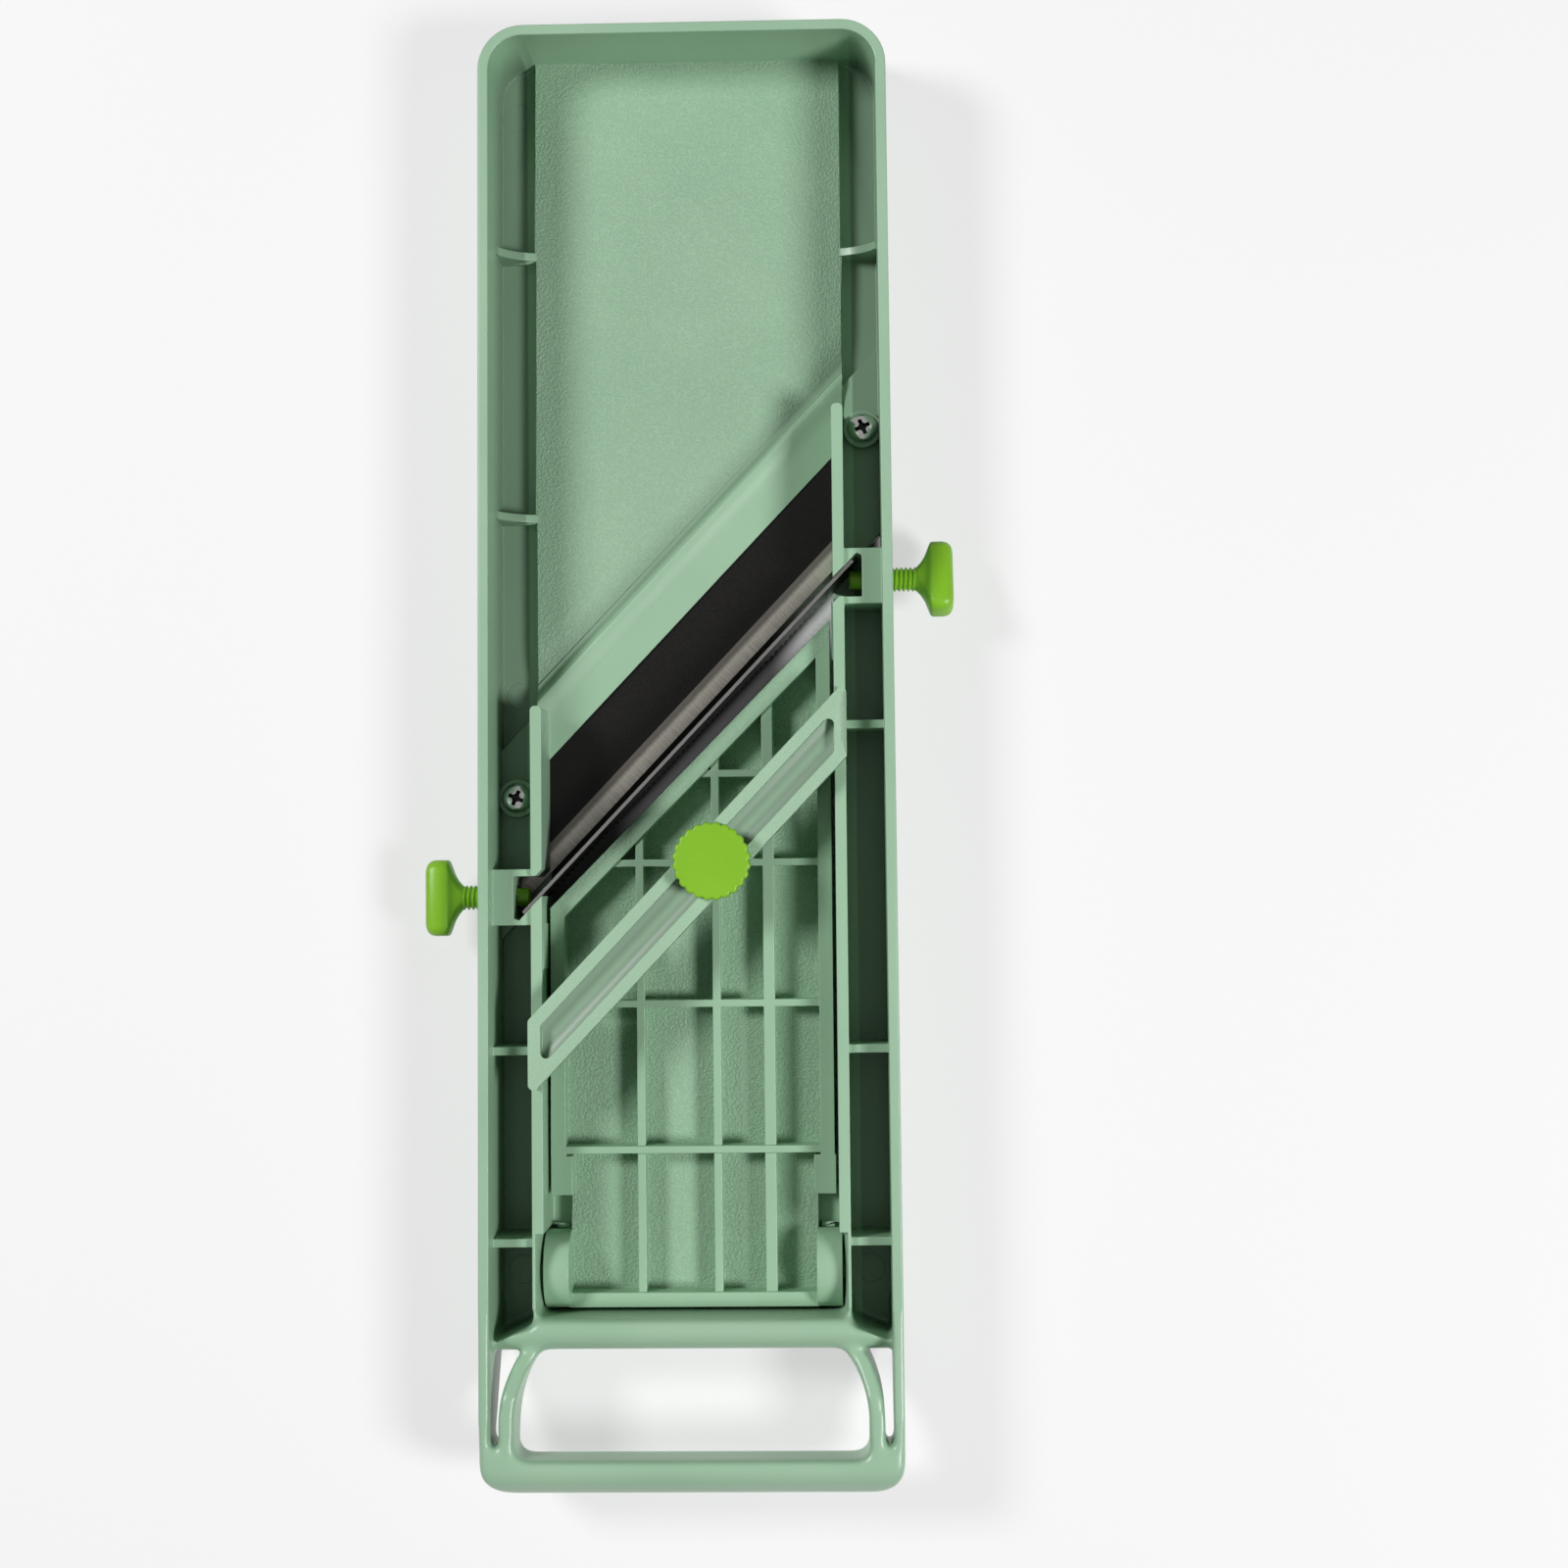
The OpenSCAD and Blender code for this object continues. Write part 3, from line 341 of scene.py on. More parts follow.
finishes = {
    "green": {"light": (0.375, 0.575, 0.40), "dark": (0.335, 0.53, 0.362), "roughness": 0.34,
              "matte": 0.5, "grain": 0.52, "depth": 0.13, "hollow": 0.25},
    "plate": {"light": (0.36, 0.56, 0.385), "dark": (0.32, 0.515, 0.345), "roughness": 0.34,
              "matte": 0.52, "grain": 0.55, "depth": 0.14, "hollow": 0.25},
    "bar": {"light": (0.42, 0.63, 0.445), "dark": (0.385, 0.59, 0.41), "roughness": 0.36,
            "matte": 0.45, "grain": 0.5, "depth": 0.05, "hollow": 0.14, "troughShade": 0.66},
    "lime": {"light": (0.27, 0.57, 0.022), "dark": (0.235, 0.53, 0.018), "roughness": 0.38,
             "grain": 0.9, "depth": 0.012, "hollow": 0.05},
}
# the dimmed dark tones here are painted shade, in the grain's pits and in the body's shaded places
moulding = {"mottle": 38.0, "pitShadeDim": 0.45, "paintedShade": 0.35, "ringRadius": 3.2, "ringDepth": 0.35}


def plasticMaterial(name, finish, mask=None, marks=(), paintedShade=None):
    # mask tells where the grain is, marks are the centres of ejector rings, and the last argument where
    # shade is painted
    material, tree, shader, place = newMaterial(name, finish["roughness"])
    shade = useGroup(tree, mottle, Vector=place, Size=moulding["mottle"])["Mask"]
    colour = mixColour(tree, shade, finish["dark"], finish["light"])
    grain = useGroup(tree, pebble, Vector=place, Size=finish["grain"])["Height"]
    hollow = sums(tree, "SUBTRACT", 1.0, grain)
    if mask:
        where = mask(tree, place)
        hollow = product(tree, hollow, where)
        grain = product(tree, grain, where)
        matte = ramp(tree, where, 0.0, 1.0, finish["roughness"], finish["matte"])
        connect(tree, matte, shader.inputs["Roughness"])
    if "troughShade" in finish:
        # painted shade: the smooth trough is coloured darker than the grained rim
        dark, light = (dimmed(finish[tone], finish["troughShade"]) for tone in ("dark", "light"))
        colour = mixColour(tree, where, mixColour(tree, shade, dark, light), colour)
    # painted shade in the pits of the grain
    paintedPitShade = product(tree, hollow, finish["hollow"])
    colour = mixColour(tree, paintedPitShade, colour, dimmed(finish["dark"], moulding["pitShadeDim"]))
    # painted shade, where the given mask says
    if paintedShade:
        colour = mixColour(tree, paintedShade(tree, place), colour, dimmed(finish["dark"], moulding["paintedShade"]))
    tree.links.new(colour, shader.inputs["Base Color"])
    height = grain
    for x, y in marks:
        ring = useGroup(tree, ringMark, Vector=place, X=x, Y=y, Radius=moulding["ringRadius"])["Depth"]
        height = sums(tree, "MULTIPLY_ADD", ring, -moulding["ringDepth"], height)
    bump(tree, height, shader, finish["depth"])
    return material


# Where the plastic is grained, marked or painted with shade, in millimetres and degrees
# a pair is the two ends of a soft edge

panelGrain = {"start": 51.5, "startEdge": (-0.3, 2.2), "halfWidth": 34.4, "sideEdge": 0.1,
              "top": 6.75, "topEdge": 0.2}
plateGrain = {"tilt": 1.036, "hinge": (-112.8, 9.0), "floor": 6.5, "floorEdge": 0.3,
              "rim": 11.7, "rimEdge": 0.2, "onRim": 0.55,
              "front": -1.53, "rimWidth": 3.0, "backEdge": (-0.6, 0.2), "angle": 45.3}
barGrain = {"start": 24.7, "edge": 0.2}
bodyMarks = [(-25.8, 148.6), (23.1, 149.2), (-38.8, 14.0), (-39.2, 146.0),
             (-38.8, -114.1), (38.8, -114.1)]
plateMarks = [(-21.4, -80.5), (-21.6, -113.0), (23.7, -113.0)]
# painted shade beside the ridge and in the bottoms of the gutters
bodyPaintedShade = {
    "valley": {"amount": 0.5, "start": -2, "rise": (0.3, 1.6), "fall": (9, 1.8),
               "side": (34.6, 34.4), "height": (7.4, 7.2)},
    "gutter": {"amount": 0.62, "side": (36.4, 37), "height": (22, 4)},
}


def fromMiddle(tree, place, edge):
    # ramps with the distance from the middle of the body
    return ramp(tree, sums(tree, "ABSOLUTE", parts(tree, place)[0]), *(value * mm for value in edge))


def panelMask(tree, place):
    p = panelGrain
    space = useGroup(tree, slantSpace, Vector=place, Angle=bladeAngle)
    start = p["start"] * math.cos(bladeAngle)
    inside = ramp(tree, space["Across"], *(start + value for value in p["startEdge"]))
    middle = fromMiddle(tree, place, (p["halfWidth"], p["halfWidth"] - p["sideEdge"]))
    low = ramp(tree, space["Height"], p["top"] + p["topEdge"], p["top"])
    return product(tree, inside, middle, low)


def paintedBodyShade(tree, place):
    # painted shade: the valley beside the ridge and the bottoms of the gutters are coloured darker, as
    # they get less light
    v, g = bodyPaintedShade["valley"], bodyPaintedShade["gutter"]
    space = useGroup(tree, slantSpace, Vector=place, Angle=bladeAngle)
    start = panelGrain["start"] * math.cos(bladeAngle) + v["start"]
    rise, fall = (ramp(tree, space["Across"], *(start + value for value in v[way]))
                  for way in ("rise", "fall"))
    valley = product(tree, fall, fall, rise)
    inner, gutter = (product(tree, fromMiddle(tree, place, dark["side"]),
                             ramp(tree, space["Height"], *dark["height"])) for dark in (v, g))
    return sums(tree, "MAXIMUM", product(tree, valley, inner, v["amount"]),
                product(tree, gutter, g["amount"]))


def plateMask(tree, place):
    # the floors of the pockets, and a softer grain on the leading rim
    p = plateGrain
    tilt = math.radians(p["tilt"])
    axes = parts(tree, place)
    y = sums(tree, "MULTIPLY_ADD", axes[1], 1000.0, -p["hinge"][0])
    z = sums(tree, "MULTIPLY_ADD", axes[2], 1000.0, -p["hinge"][1])
    turnedZ = sums(tree, "SUBTRACT", product(tree, z, math.cos(tilt)), product(tree, y, math.sin(tilt)))
    level = sums(tree, "ADD", turnedZ, p["hinge"][1])
    floor = ramp(tree, level, p["floor"] + p["floorEdge"], p["floor"])
    across = useGroup(tree, slantSpace, Vector=place, Angle=math.radians(p["angle"]))["Across"]
    front = ramp(tree, across, *(p["front"] - p["rimWidth"] + value for value in p["backEdge"]))
    top = ramp(tree, level, p["rim"], p["rim"] + p["rimEdge"])
    return sums(tree, "MAXIMUM", floor, product(tree, front, top, p["onRim"]))


def barMask(tree, place):
    start = barGrain["start"]
    return ramp(tree, parts(tree, place)[2], start * mm, (start + barGrain["edge"]) * mm)


bodyPlastic = plasticMaterial("bodyPlastic", finishes["green"], panelMask, bodyMarks, paintedBodyShade)
platePlastic = plasticMaterial("platePlastic", finishes["plate"], plateMask, plateMarks)
barPlastic = plasticMaterial("barPlastic", finishes["bar"], barMask)
limePlastic = plasticMaterial("limePlastic", finishes["lime"])

# Blade steel, in millimetres
# a noise is its scale, detail and roughness, and a pair at an edge or a mask its two ends

blade = {
    "edge": 5.4, "bevel": 4.6, "bevelEdge": (0.05, -0.15), "topEdge": (4.05, 4.1),
    "bright": 3.0, "brightEdge": 0.6, "wander": 0.3, "wanderNoise": (0.35, 1.0),
    # the face's colours are a painted dark reflection, with darker specks
    "paintedDarkReflection": (0.0095, 0.0088, 0.0078), "darkerSpeck": (0.005, 0.0045, 0.004),
    "half": (0.21, 0.195, 0.17), "ground": (0.80, 0.76, 0.67),
    "strokeScale": (4.6, 0.12), "strokeNoise": (1.0, 3.0, 0.65), "strokeMask": (0.32, 0.68),
    "strokePart": 0.45, "strokeShade": 0.3, "strokeDepth": 0.6,
    "speckNoise": (2600.0, 2.0, 0.6), "speckMask": (0.35, 0.7), "speckDepth": 0.25,
    "roughness": 0.36, "speckRoughness": 0.12, "metal": 0.8, "specular": 0.22, "depth": 0.03,
}


def bladeFinish(b):
    # a near black face painted as the dark reflection of polished steel, then a bevel ground in two
    # steps with strokes square to the edge
    material, tree, shader, place = newMaterial("bladeSteel", b["roughness"], specular=b["specular"])
    space = useGroup(tree, slantSpace, Vector=place, Angle=bladeAngle)
    strokes = addNode(tree, "ShaderNodeCombineXYZ")
    for label, scale, socket in zip(("Along", "Across"), b["strokeScale"], strokes.inputs):
        connect(tree, product(tree, space[label], scale), socket)
    stroke = ramp(tree, noise(tree, strokes.outputs[0], *b["strokeNoise"]), *b["strokeMask"])
    wander = noise(tree, strokes.outputs[0], *b["wanderNoise"])
    bevelEnd = b["edge"] + b["bevel"]
    bevel = ramp(tree, space["Across"], *(bevelEnd + value for value in b["bevelEdge"]))
    step = sums(tree, "MULTIPLY_ADD", wander, b["wander"], b["edge"] + b["bright"] - b["wander"] / 2)
    bright = ramp(tree, sums(tree, "SUBTRACT", step, space["Across"]), -b["brightEdge"], b["brightEdge"])
    top = product(tree, bevel, ramp(tree, space["Height"], *b["topEdge"]))
    speck = ramp(tree, noise(tree, place, *b["speckNoise"]), *b["speckMask"])
    paintedDarkReflection = mixColour(tree, speck, b["darkerSpeck"], b["paintedDarkReflection"])
    steel = mixColour(tree, bright, b["half"], b["ground"])
    scored = dimmed(b["ground"], b["strokeShade"])
    worn = mixColour(tree, product(tree, stroke, b["strokePart"]), steel, scored)
    tree.links.new(mixColour(tree, top, paintedDarkReflection, worn), shader.inputs["Base Color"])
    tree.links.new(product(tree, top, b["metal"]), shader.inputs["Metallic"])
    rough = sums(tree, "MULTIPLY_ADD", speck, b["speckRoughness"], b["roughness"])
    tree.links.new(rough, shader.inputs["Roughness"])
    height = sums(tree, "MULTIPLY_ADD", product(tree, stroke, top), b["strokeDepth"],
                  product(tree, speck, b["speckDepth"]))
    bump(tree, height, shader, b["depth"])
    return material


# the dark faces are painted shade and the bright back edge is a painted highlight
comb = {"colour": (0.30, 0.29, 0.28), "paintedFaceShade": (0.10, 0.22), "back": 19.0, "backEdge": (-0.12, -0.02),
        "streaks": (60, 900, 900), "streakNoise": (1.0, 3.0), "streakMask": (0.35, 0.65),
        "roughness": 0.38, "depth": 0.01}


def combFinish(c):
    # faces painted dark as shade, with the back edge painted bright as a highlight
    material, tree, shader, place = newMaterial("combSteel", c["roughness"], 1.0)
    height = product(tree, parts(tree, place)[2], 1000.0)
    back = ramp(tree, height, *(c["back"] + value for value in c["backEdge"]))
    streak = addNode(tree, "ShaderNodeMapping")
    streak.inputs["Rotation"].default_value = (0, 0, -bladeAngle)
    streak.inputs["Scale"].default_value = c["streaks"]
    connect(tree, place, streak.inputs["Vector"])
    lines = ramp(tree, noise(tree, streak.outputs[0], *c["streakNoise"]), *c["streakMask"])
    paintedFaceShade = mixColour(tree, lines, *(dimmed(c["colour"], amount) for amount in c["paintedFaceShade"]))
    tree.links.new(mixColour(tree, back, paintedFaceShade, c["colour"]), shader.inputs["Base Color"])
    bump(tree, lines, shader, c["depth"])
    return material


metal = {"mottle": 6.0, "shade": 0.8}


def metalMaterial(name, colour, roughness):
    material, tree, shader, place = newMaterial(name, roughness, 1.0)
    shade = useGroup(tree, mottle, Vector=place, Size=metal["mottle"])["Mask"]
    dark = dimmed(colour, metal["shade"])
    tree.links.new(mixColour(tree, shade, dark, colour), shader.inputs["Base Color"])
    return material


bladeSteel = bladeFinish(blade)
combSteel = combFinish(comb)
screwPlating = metalMaterial("screwPlating", (0.75, 0.75, 0.73), 0.18)
# painted shade: the screw's recess is coloured near black
paintedRecessShade = metalMaterial("paintedRecessShade", (0.03, 0.028, 0.027), 0.3)
stemSteel = metalMaterial("stemSteel", (0.5, 0.5, 0.49), 0.3)
nutBrass = metalMaterial("nutBrass", (0.62, 0.47, 0.2), 0.3)
print("materials ready")


# Pieces

bodyOf = {node: body for body, members in frame["record"]["behaviour"]["bodies"].items()
          for node in members}


def addPiece(name, bm, material, node, sharp=None):
    # sharp is the angle above which an edge stays crisp
    for face in bm.faces:
        face.smooth = True
    mesh = bpy.data.meshes.new(name)
    bm.to_mesh(mesh)
    bm.free()
    if sharp:
        mesh.set_sharp_from_angle(angle=math.radians(sharp))
    mesh.materials.append(material)
    piece = bpy.data.objects.new(name, mesh)
    scene.collection.objects.link(piece)
    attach(piece, bodyOf[node])
    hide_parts(node)
    return piece


def turned(profile, centre, steps=48):
    # profile is a list of radius and height, spun about an upright axis, in millimetres
    bm = bmesh.new()
    x, y = centre
    verts = [bm.verts.new(((x + r) * mm, y * mm, z * mm)) for r, z in profile]
    edges = [bm.edges.new(pair) for pair in zip(verts, verts[1:])]
    bmesh.ops.spin(bm, geom=verts + edges, cent=(x * mm, y * mm, 0), axis=(0, 0, 1), angle=2 * math.pi,
                   steps=steps, use_merge=True)
    bmesh.ops.remove_doubles(bm, verts=bm.verts, dist=1e-7)
    bmesh.ops.recalc_face_normals(bm, faces=bm.faces)
    return bm


def cutPlane(bm, geom, place, normal, distance=1e-7, clear=False):
    return bmesh.ops.bisect_plane(bm, geom=geom, dist=distance, plane_co=place, plane_no=normal,
                                  clear_outer=clear)["geom_cut"]


def wholeOf(bm):
    return bm.verts[:] + bm.edges[:] + bm.faces[:]


def grow(bm, edges):
    # adds a strip of faces to the edges and gives its far edges and corners
    grown = bmesh.ops.extrude_edge_only(bm, edges=edges)["geom"]
    kinds = (bmesh.types.BMEdge, bmesh.types.BMVert)
    return [[g for g in grown if isinstance(g, kind)] for kind in kinds]


def turnAll(bm, turn, axis, centre=(0, 0, 0)):
    bmesh.ops.rotate(bm, verts=bm.verts, cent=centre, matrix=Matrix.Rotation(turn, 3, axis))


def standIn(bm):
    # a scratch object that takes the mesh over while a modifier works on it
    mesh = bpy.data.meshes.new("work")
    bm.to_mesh(mesh)
    bm.free()
    thing = bpy.data.objects.new("work", mesh)
    scene.collection.objects.link(thing)
    return thing


def modified(things, kind, **values):
    # the first thing's mesh after one modifier, with all the things cleared away
    modifier = things[0].modifiers.new("work", kind)
    for key, value in values.items():
        setattr(modifier, key, value)
    result = bmesh.new()
    result.from_mesh(things[0].evaluated_get(bpy.context.evaluated_depsgraph_get()).to_mesh())
    for thing in things:
        mesh = thing.data
        bpy.data.objects.remove(thing)
        bpy.data.meshes.remove(mesh)
    return result


def carved(base, cutter):
    # cuts the second mesh out of the first
    things = [standIn(base), standIn(cutter)]
    return modified(things, "BOOLEAN", object=things[1], solver="EXACT", material_mode="INDEX")


# Plastic mouldings and plain metal pieces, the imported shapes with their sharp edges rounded
# least and slim leave the shortest edges and the narrowest faces as they are

rounding = {"weld": 2e-6, "flat": 0.5, "segments": 2, "angle": 30, "least": 0.5, "slim": 1.2}


def mergedCopy(node):
    bm = bmesh.new()
    bm.from_mesh(frame["nodes"][node].data)
    bmesh.ops.remove_doubles(bm, verts=bm.verts, dist=rounding["weld"])
    flat = math.radians(rounding["flat"])
    bmesh.ops.dissolve_limit(bm, angle_limit=flat, verts=bm.verts, edges=bm.edges, delimit=set())
    return bm


def softPiece(node, name, material, width, shape=None, weigh=None):
    # shape reworks the mesh first, weigh gives an edge's share of the width
    bm = mergedCopy(node)
    if shape:
        shape(bm)
    weight = bm.edges.layers.float.new("bevel_weight_edge")
    angle = math.radians(rounding["angle"])
    for edge in bm.edges:
        part = weigh(edge) if weigh else 1.0
        if len(edge.link_faces) != 2 or edge.calc_face_angle() < angle or not part:
            continue
        narrow = min(2 * face.calc_area() / face.calc_perimeter() for face in edge.link_faces)
        if edge.calc_length() > rounding["least"] * mm and narrow > rounding["slim"] * width * part * mm:
            edge[weight] = part
        else:
            edge.smooth = False
    piece = addPiece(name, bm, material, node)
    edge = piece.modifiers.new("edge", "BEVEL")
    edge.width = width * mm
    edge.segments = rounding["segments"]
    edge.limit_method = "WEIGHT"
    edge.use_clamp_overlap = False
    level = piece.modifiers.new("level", "WEIGHTED_NORMAL")
    level.keep_sharp = True


# The grip, its legs and the cross wall are cut off, remeshed, rounded and set back
# the last four say where the rounding sets in, over how far it grows and what its most is

grip = {
    "cut": -119.9, "spare": 4.0, "slack": 0.01, "grain": 0.42, "passes": 44, "keep": 0.3,
    "crown": -153.4, "lean": 6, "drop": 3.4, "from": 12, "top": 26,
    "plug": {"place": (42.6, -127.2, 1.5), "size": (2.6, 3.4, 2.0)},
    "wall": {"halfWidth": 38, "inward": 3, "grow": 1.5},
    "leg": {"halfWidth": 43, "start": 131, "grow": 2, "most": 0.4},
    "side": {"grow": 6, "most": 0.1},
    "end": {"start": 142, "grow": 8},
}


def cutAt(bm, y, keepGrip):
    # keeps the grip or all the rest, and closes the cut with a crisp rim
    made = cutPlane(bm, wholeOf(bm), (0, y * mm, 0), (0, 1 if keepGrip else -1, 0), clear=True)
    rim = [g for g in made if isinstance(g, bmesh.types.BMEdge) and g.is_boundary]
    bmesh.ops.holes_fill(bm, edges=rim, sides=0)
    for edge in rim:
        edge.smooth = False


def share(place):
    # how much of the rounding a place takes, all on the grip and the cross wall and little on the sides
    def rise(value):
        return min(max(value, 0), 1)
    wall, leg, side, end = grip["wall"], grip["leg"], grip["side"], grip["end"]
    x, y = abs(place.x) / mm, -place.y / mm
    past = y + grip["cut"]
    return max(rise((wall["halfWidth"] - x) / wall["inward"]) * rise(past / wall["grow"]),
               leg["most"] * rise(leg["halfWidth"] - x) * rise((y - leg["start"]) / leg["grow"]),
               side["most"] * rise(past / side["grow"]),
               rise((y - end["start"]) / end["grow"]))


def roundGrip(bm):
    handle = bm.copy()
    cutAt(handle, grip["cut"] + grip["spare"], True)
    for side in (-1, 1):
        # closes the pinhole at the gutter's end
        x, y, z = grip["plug"]["place"]
        bmesh.ops.create_cube(handle, size=mm, matrix=Matrix.Translation((side * x * mm, y * mm, z * mm))
                              @ Matrix.Diagonal((*grip["plug"]["size"], 1)))
    handle = modified([standIn(handle)], "REMESH", mode="VOXEL", voxel_size=grip["grain"] * mm)
    for v in handle.verts:
        # the top falls away from the crown to the outer edge
        lean = max(grip["crown"] - v.co.y / mm, 0) / grip["lean"]
        up = max(v.co.z / mm - grip["from"], 0) / (grip["top"] - grip["from"])
        v.co.z -= grip["drop"] * mm * lean * lean * up
    ranked = sorted(((share(v.co) * grip["passes"], v) for v in handle.verts), key=lambda pair: -pair[0])
    for turn in range(grip["passes"]):
        ranked = ranked[:sum(1 for amount, v in ranked if amount > turn)]
        bmesh.ops.smooth_vert(handle, verts=[v for amount, v in ranked], factor=0.5,
                              use_axis_x=True, use_axis_y=True, use_axis_z=True)
    handle = modified([standIn(handle)], "DECIMATE", ratio=grip["keep"])
    cutAt(handle, grip["cut"], True)
    cutAt(bm, grip["cut"], False)
    loose = bpy.data.meshes.new("work")
    handle.to_mesh(loose)
    handle.free()
    bm.from_mesh(loose)
    bpy.data.meshes.remove(loose)


# The ridge behind the lip and the valley beside it, in millimetres
# a swell is its height, middle and width to either side, a row of cuts its first place, step and count

ridge = {"crest": 33.45, "halfWidth": 34.5, "lowest": 5.0, "highest": 8.0, "reach": (-6, 10),
         "swells": [(0.6, -0.7, 2.4, 1.1), (-0.85, 2.0, 1.2, 4.0)],
         "cuts": [(-6, 0.5, 8), (-2, 0.3, 17), (3.5, 1, 7)]}


def raiseRidge(bm):
    c, s = math.cos(bladeAngle), math.sin(bladeAngle)
    first, last = ridge["reach"]

    def offset(v):
        return (v.co.y * c - v.co.x * s) / mm - ridge["crest"]

    def onPanel(face):
        place = face.calc_center_median()
        return (face.normal.z > 0.5 and abs(place.x) < ridge["halfWidth"] * mm
                and ridge["lowest"] * mm < place.z < ridge["highest"] * mm)

    for line in (start + step * i for start, step, count in ridge["cuts"] for i in range(count)):
        across = (ridge["crest"] + line) * mm
        faces = [face for face in bm.faces if onPanel(face)
                 and min(offset(v) for v in face.verts) < line < max(offset(v) for v in face.verts)]
        geom = list({item for face in faces for item in [face, *face.edges, *face.verts]})
        cutPlane(bm, geom, (-s * across, c * across, 0), (-s, c, 0))
    near = [face for face in bm.faces
            if onPanel(face) and any(first < offset(v) < last for v in face.verts)]
    for v in {v for face in near for v in face.verts}:
        for height, middle, before, after in ridge["swells"]:
            off = offset(v) - middle
            v.co.z += height * mm * math.exp(-(off / (before if off < 0 else after)) ** 2)


def shapeBody(bm):
    raiseRidge(bm)
    roundGrip(bm)


outerTop = {"height": 25.9, "halfWidth": 42.8, "front": 150, "elsewhere": 0.52}


def bodyWeight(edge):
    # none on the rounded grip, all on the outer wall's top, the usual part elsewhere
    if all(v.co.y < (grip["cut"] + grip["slack"]) * mm for v in edge.verts):
        return 0
    height, halfWidth, front = (outerTop[key] * mm for key in ("height", "halfWidth", "front"))
    high = all(v.co.z > height and (abs(v.co.x) > halfWidth or v.co.y > front) for v in edge.verts)
    return 1.0 if high else outerTop["elsewhere"]


softEdges = {
    "body_frame": ("bodyShell", bodyPlastic, 0.38, shapeBody, bodyWeight),
    "feed_plate": ("feedPlate", platePlastic, 0.18),
    "bridge_bar": ("bridgeBar", barPlastic, 0.25),
    "main_blade": ("mainBlade", bladeSteel, 0.02),
    "comb_blade": ("combBlade", combSteel, 0.02),
    "adjusting_nut": ("adjustingNut", nutBrass, 0.1),
    "adjusting_stem": ("adjustingStem", stemSteel, 0.1),
    "retaining_clip": ("retainingClip", stemSteel, 0.05),
    "clamp_tip_left": ("clampTipLeft", limePlastic, 0.1),
    "clamp_tip_right": ("clampTipRight", limePlastic, 0.1),
}
for node, given in softEdges.items():
    softPiece(node, *given)
print("mouldings ready")


# Blade screws

bladeScrew = {
    "centres": {"blade_screw_upper": (38.8, 72.557), "blade_screw_lower": (-38.8, -9.217)},
    "turns": {"blade_screw_upper": 24, "blade_screw_lower": -24},
    # radius and height down the head, then the shank
    "profile": [(0, 11.3), (1.5, 11.25), (2.3, 10.98), (2.85, 10.5), (3.2, 9.9), (3.38, 9.35),
                (3.36, 9.12), (3.2, 9.02), (2.0, 9.02), (1.98, 1.3), (1.7, 1.02), (0, 1.02)],
    # half length, half width and turn of each arm of the recess
    "arms": [(2.5, 0.62, 0), (2.5, 0.62, 90), (1.25, 1.25, 45)], "taper": 0.5, "depth": 2.2, "top": 11.6,
    "sharp": 35,
}


def crossArm(s, halfX, halfY, centre, turn):
    # tapered block that sinks into the head
    bm = bmesh.new()
    bmesh.ops.create_cube(bm, size=2.0)
    for v in bm.verts:
        deep = s["taper"] if v.co.z < 0 else 1.0
        v.co = Vector((v.co.x * halfX * deep, v.co.y * halfY * deep, v.co.z * s["depth"]))
    turnAll(bm, math.radians(turn), "Z")
    bmesh.ops.scale(bm, verts=bm.verts, vec=(mm, mm, mm))
    bmesh.ops.translate(bm, verts=bm.verts, vec=Vector((*centre, s["top"])) * mm)
    for face in bm.faces:
        # the recess takes the second material, whose near black is painted shade
        face.material_index = 1
    return bm


for node, centre in bladeScrew["centres"].items():
    head = turned(bladeScrew["profile"], centre)
    for halfX, halfY, twist in bladeScrew["arms"]:
        turn = bladeScrew["turns"][node] + twist
        head = carved(head, crossArm(bladeScrew, halfX, halfY, centre, turn))
    name = "bladeScrew" + node.split("_")[-1].title()
    screw = addPiece(name, head, screwPlating, node, bladeScrew["sharp"])
    screw.data.materials.append(paintedRecessShade)
print("blade screws ready")


# Thickness knob

knob = {
    "centre": (5.45, -23.893), "radius": 8.38, "foot": 25.1, "footEdge": 0.25, "top": 29.9,
    "notches": 24, "notch": 0.42, "notchWidth": 0.5, "stepsPerNotch": 12,
    "round": 0.6, "roundSteps": 4, "bore": 2.52, "boreTop": 28.02, "boreRoof": 1.5,
    # how far in and how far below the top the rings of the dished face lie
    "face": [(1.3, 0.02), (4.0, 0.12), (8.0, 0.12)], "sharp": 50,
}


def setRing(verts, ring, centre, place):
    # place gives radius and height from the angle and the ring
    for v in verts:
        angle = math.atan2(v.co.y - centre[1] * mm, v.co.x - centre[0] * mm)
        r, z = place(angle, ring)
        v.co = Vector((centre[0] + r * math.cos(angle), centre[1] + r * math.sin(angle), z)) * mm


def ringStack(bm, edges, rings, centre, place):
    # adds a strip of faces for each ring and closes the last one
    for ring in rings:
        edges, verts = grow(bm, edges)
        setRing(verts, ring, centre, place)
    bmesh.ops.holes_fill(bm, edges=edges, sides=0)


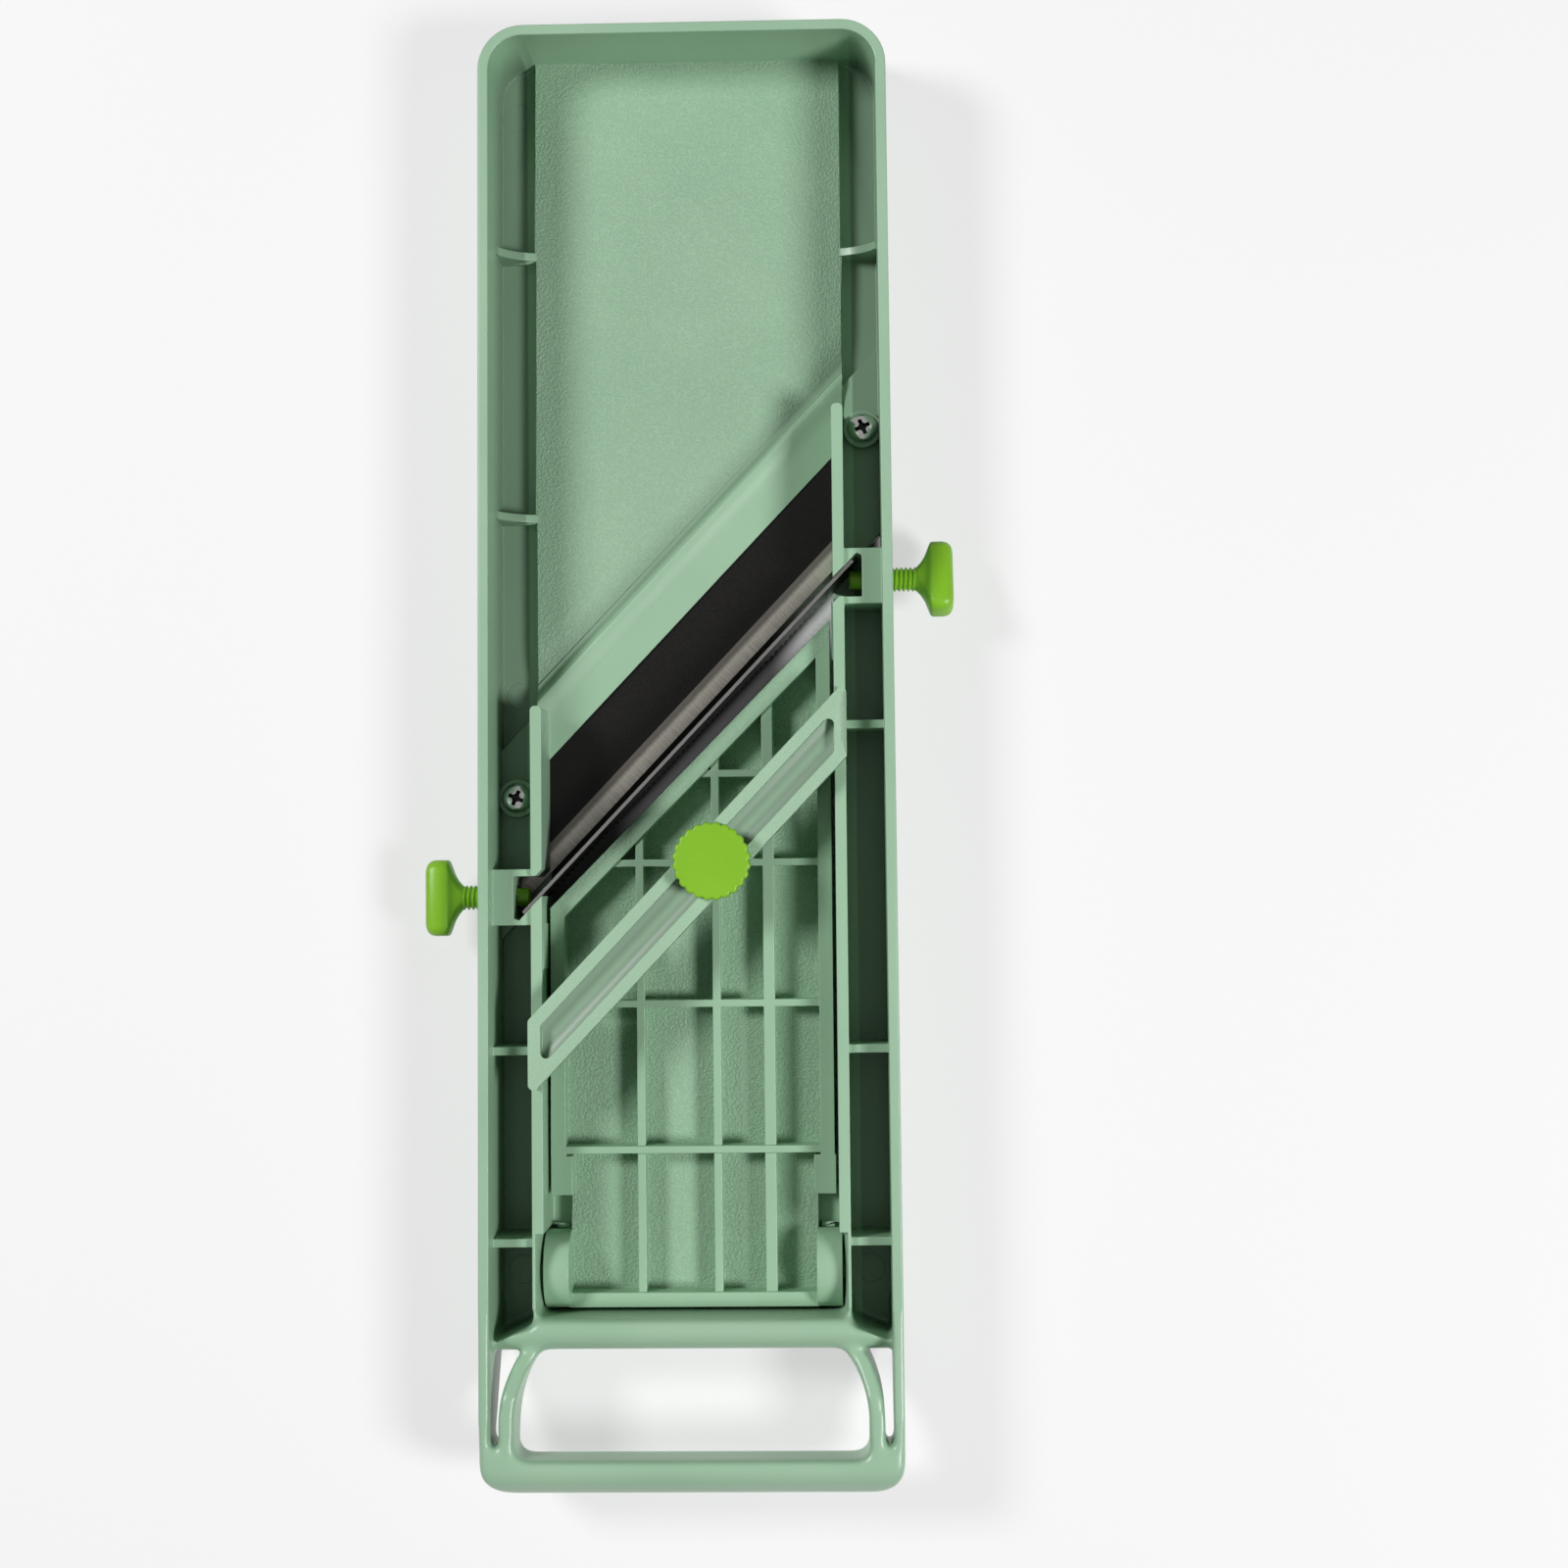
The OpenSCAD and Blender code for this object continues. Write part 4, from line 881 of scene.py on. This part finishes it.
def knobShape(k):
    # a ring is how far in it lies, its height and whether it is notched
    def outline(angle, ring):
        inward, z, notched = ring
        step = 2 * math.pi / k["notches"]
        off = (angle + step / 2) % step - step / 2
        notch = k["notch"] * math.exp(-(off * k["radius"] / k["notchWidth"]) ** 2) if notched else 0
        return k["radius"] - notch - inward, z

    bm = bmesh.new()
    count = k["stepsPerNotch"] * k["notches"]
    made = bmesh.ops.create_circle(bm, segments=count, radius=k["radius"] * mm)["verts"]
    bmesh.ops.translate(bm, verts=made, vec=Vector((*k["centre"], k["foot"])) * mm)
    first = list(bm.edges)
    setRing(made, (k["footEdge"], k["foot"], True), k["centre"], outline)
    up = [(0, k["foot"] + k["footEdge"], True)]
    for step in range(k["roundSteps"] + 1):
        a = math.radians(90 * step / k["roundSteps"])
        up.append((k["round"] * (1 - math.cos(a)), k["top"] - k["round"] * (1 - math.sin(a)), True))
    up += [(inward, k["top"] - below, False) for inward, below in k["face"]]
    ringStack(bm, first, up, k["centre"], outline)
    reach = k["radius"] - k["bore"]
    down = [(reach, k["foot"], False), (reach, k["boreTop"], False),
            (reach + k["boreRoof"], k["boreTop"], False)]
    ringStack(bm, first, down, k["centre"], outline)
    bmesh.ops.recalc_face_normals(bm, faces=bm.faces)
    return bm


addPiece("adjustingKnob", knobShape(knob), limePlastic, "adjusting_knob", knob["sharp"])
print("knob ready")


# Wing screws that clamp the comb, drawn at the left side in millimetres

wingScrew = {
    "axis": (-31.2135, 12.0), "inner": -38.52, "flare": -50.2, "bore": 1.26, "boreEnd": -41.7,
    # the thread's outline is a share of the pitch and a radius
    "pitch": 1.0, "thread": [(0, 2.25), (0.3, 2.25), (0.5, 2.68), (0.75, 2.68), (1, 2.25)],
    "threadSteps": 24, "lead": 1.5, "spareTurns": 2,
    # x, half height, half length and corner radius of each section of the head
    "sections": [(-49.9, 2.4, 2.4, 2.4), (-50.4, 2.65, 2.7, 2.6), (-51.3, 2.75, 3.7, 2.6),
                 (-52.2, 2.9, 5.2, 2.6), (-53.0, 3.3, 7.2, 2.4), (-53.4, 3.55, 8.1, 2.4),
                 (-53.8, 3.68, 8.36, 2.4), (-56.2, 3.68, 8.38, 2.4), (-57.2, 3.5, 8.15, 2.3),
                 (-57.9, 3.1, 7.6, 2.0), (-58.3, 2.5, 6.8, 1.6), (-58.44, 1.7, 5.8, 1.1)],
    "turns": {"clamp_screw_left": 0, "clamp_screw_right": 20},
    "middleY": 3.4866, "sharp": 45,
}


def roundedLoop(bm, x, halfHeight, halfLength, corner, count=48):
    made = bmesh.ops.create_circle(bm, segments=count, radius=1.0)["verts"]
    for v in made:
        # each quarter of the circle becomes one rounded corner
        cy = math.copysign(halfLength - corner, v.co.x) if abs(v.co.x) > 1e-6 else 0
        cz = math.copysign(halfHeight - corner, v.co.y) if abs(v.co.y) > 1e-6 else 0
        v.co = Vector((x, cy + corner * v.co.x, cz + corner * v.co.y))
    return list({edge for v in made for edge in v.link_edges})


def threadedRod(w):
    # one turn of the thread's outline, spun along the axis, then cut square at both ends
    bm = bmesh.new()
    start = w["inner"] + w["lead"] * w["pitch"]
    verts = [bm.verts.new((start - t * w["pitch"], r, 0)) for t, r in w["thread"]]
    edges = [bm.edges.new(pair) for pair in zip(verts, verts[1:])]
    turns = math.ceil((w["inner"] - w["flare"]) / w["pitch"]) + w["spareTurns"]
    steps = w["threadSteps"]
    bmesh.ops.spin(bm, geom=verts + edges, cent=(0, 0, 0), axis=(1, 0, 0), angle=2 * math.pi * turns,
                   dvec=(-w["pitch"] / steps, 0, 0), steps=steps * turns, use_merge=False)
    bmesh.ops.remove_doubles(bm, verts=bm.verts, dist=1e-4)
    for end, way in ((w["inner"], 1), (w["flare"], -1)):
        cutPlane(bm, wholeOf(bm), (end, 0, 0), (way, 0, 0), distance=1e-5, clear=True)
    return bm


def closeRod(bm, w):
    # the inner end has the bore that the comb's tip turns in
    rims = [e for e in bm.edges if e.is_boundary]
    inner, outer = ([e for e in rims if all(abs(v.co.x - end) < 1e-3 for v in e.verts)]
                    for end in (w["inner"], w["flare"]))
    bmesh.ops.holes_fill(bm, edges=outer, sides=0)
    for x, r in ((w["inner"], w["bore"]), (w["boreEnd"], w["bore"]), (w["boreEnd"], 0)):
        inner, verts = grow(bm, inner)
        for v in verts:
            reach = math.hypot(v.co.y, v.co.z)
            v.co = Vector((x, v.co.y * r / reach, v.co.z * r / reach))
    bmesh.ops.remove_doubles(bm, verts=bm.verts, dist=1e-5)


def wingShape(w, turn, opposite):
    bm = threadedRod(w)
    closeRod(bm, w)
    loops = [roundedLoop(bm, *section) for section in w["sections"]]
    for a, b in zip(loops, loops[1:]):
        bmesh.ops.bridge_loops(bm, edges=a + b)
    for ends in (loops[0], loops[-1]):
        bmesh.ops.holes_fill(bm, edges=ends, sides=0)
    turnAll(bm, math.radians(turn), "X")
    bmesh.ops.translate(bm, verts=bm.verts, vec=(0, *w["axis"]))
    if opposite:
        turnAll(bm, math.pi, "Z", (0, w["middleY"], 0))
    bmesh.ops.scale(bm, verts=bm.verts, vec=(mm, mm, mm))
    bmesh.ops.recalc_face_normals(bm, faces=bm.faces)
    return bm


for node, turn in wingScrew["turns"].items():
    side = node.split("_")[-1]
    shape = wingShape(wingScrew, turn, side == "right")
    addPiece("clampScrew" + side.title(), shape, limePlastic, node, wingScrew["sharp"])
print("wing screws ready")
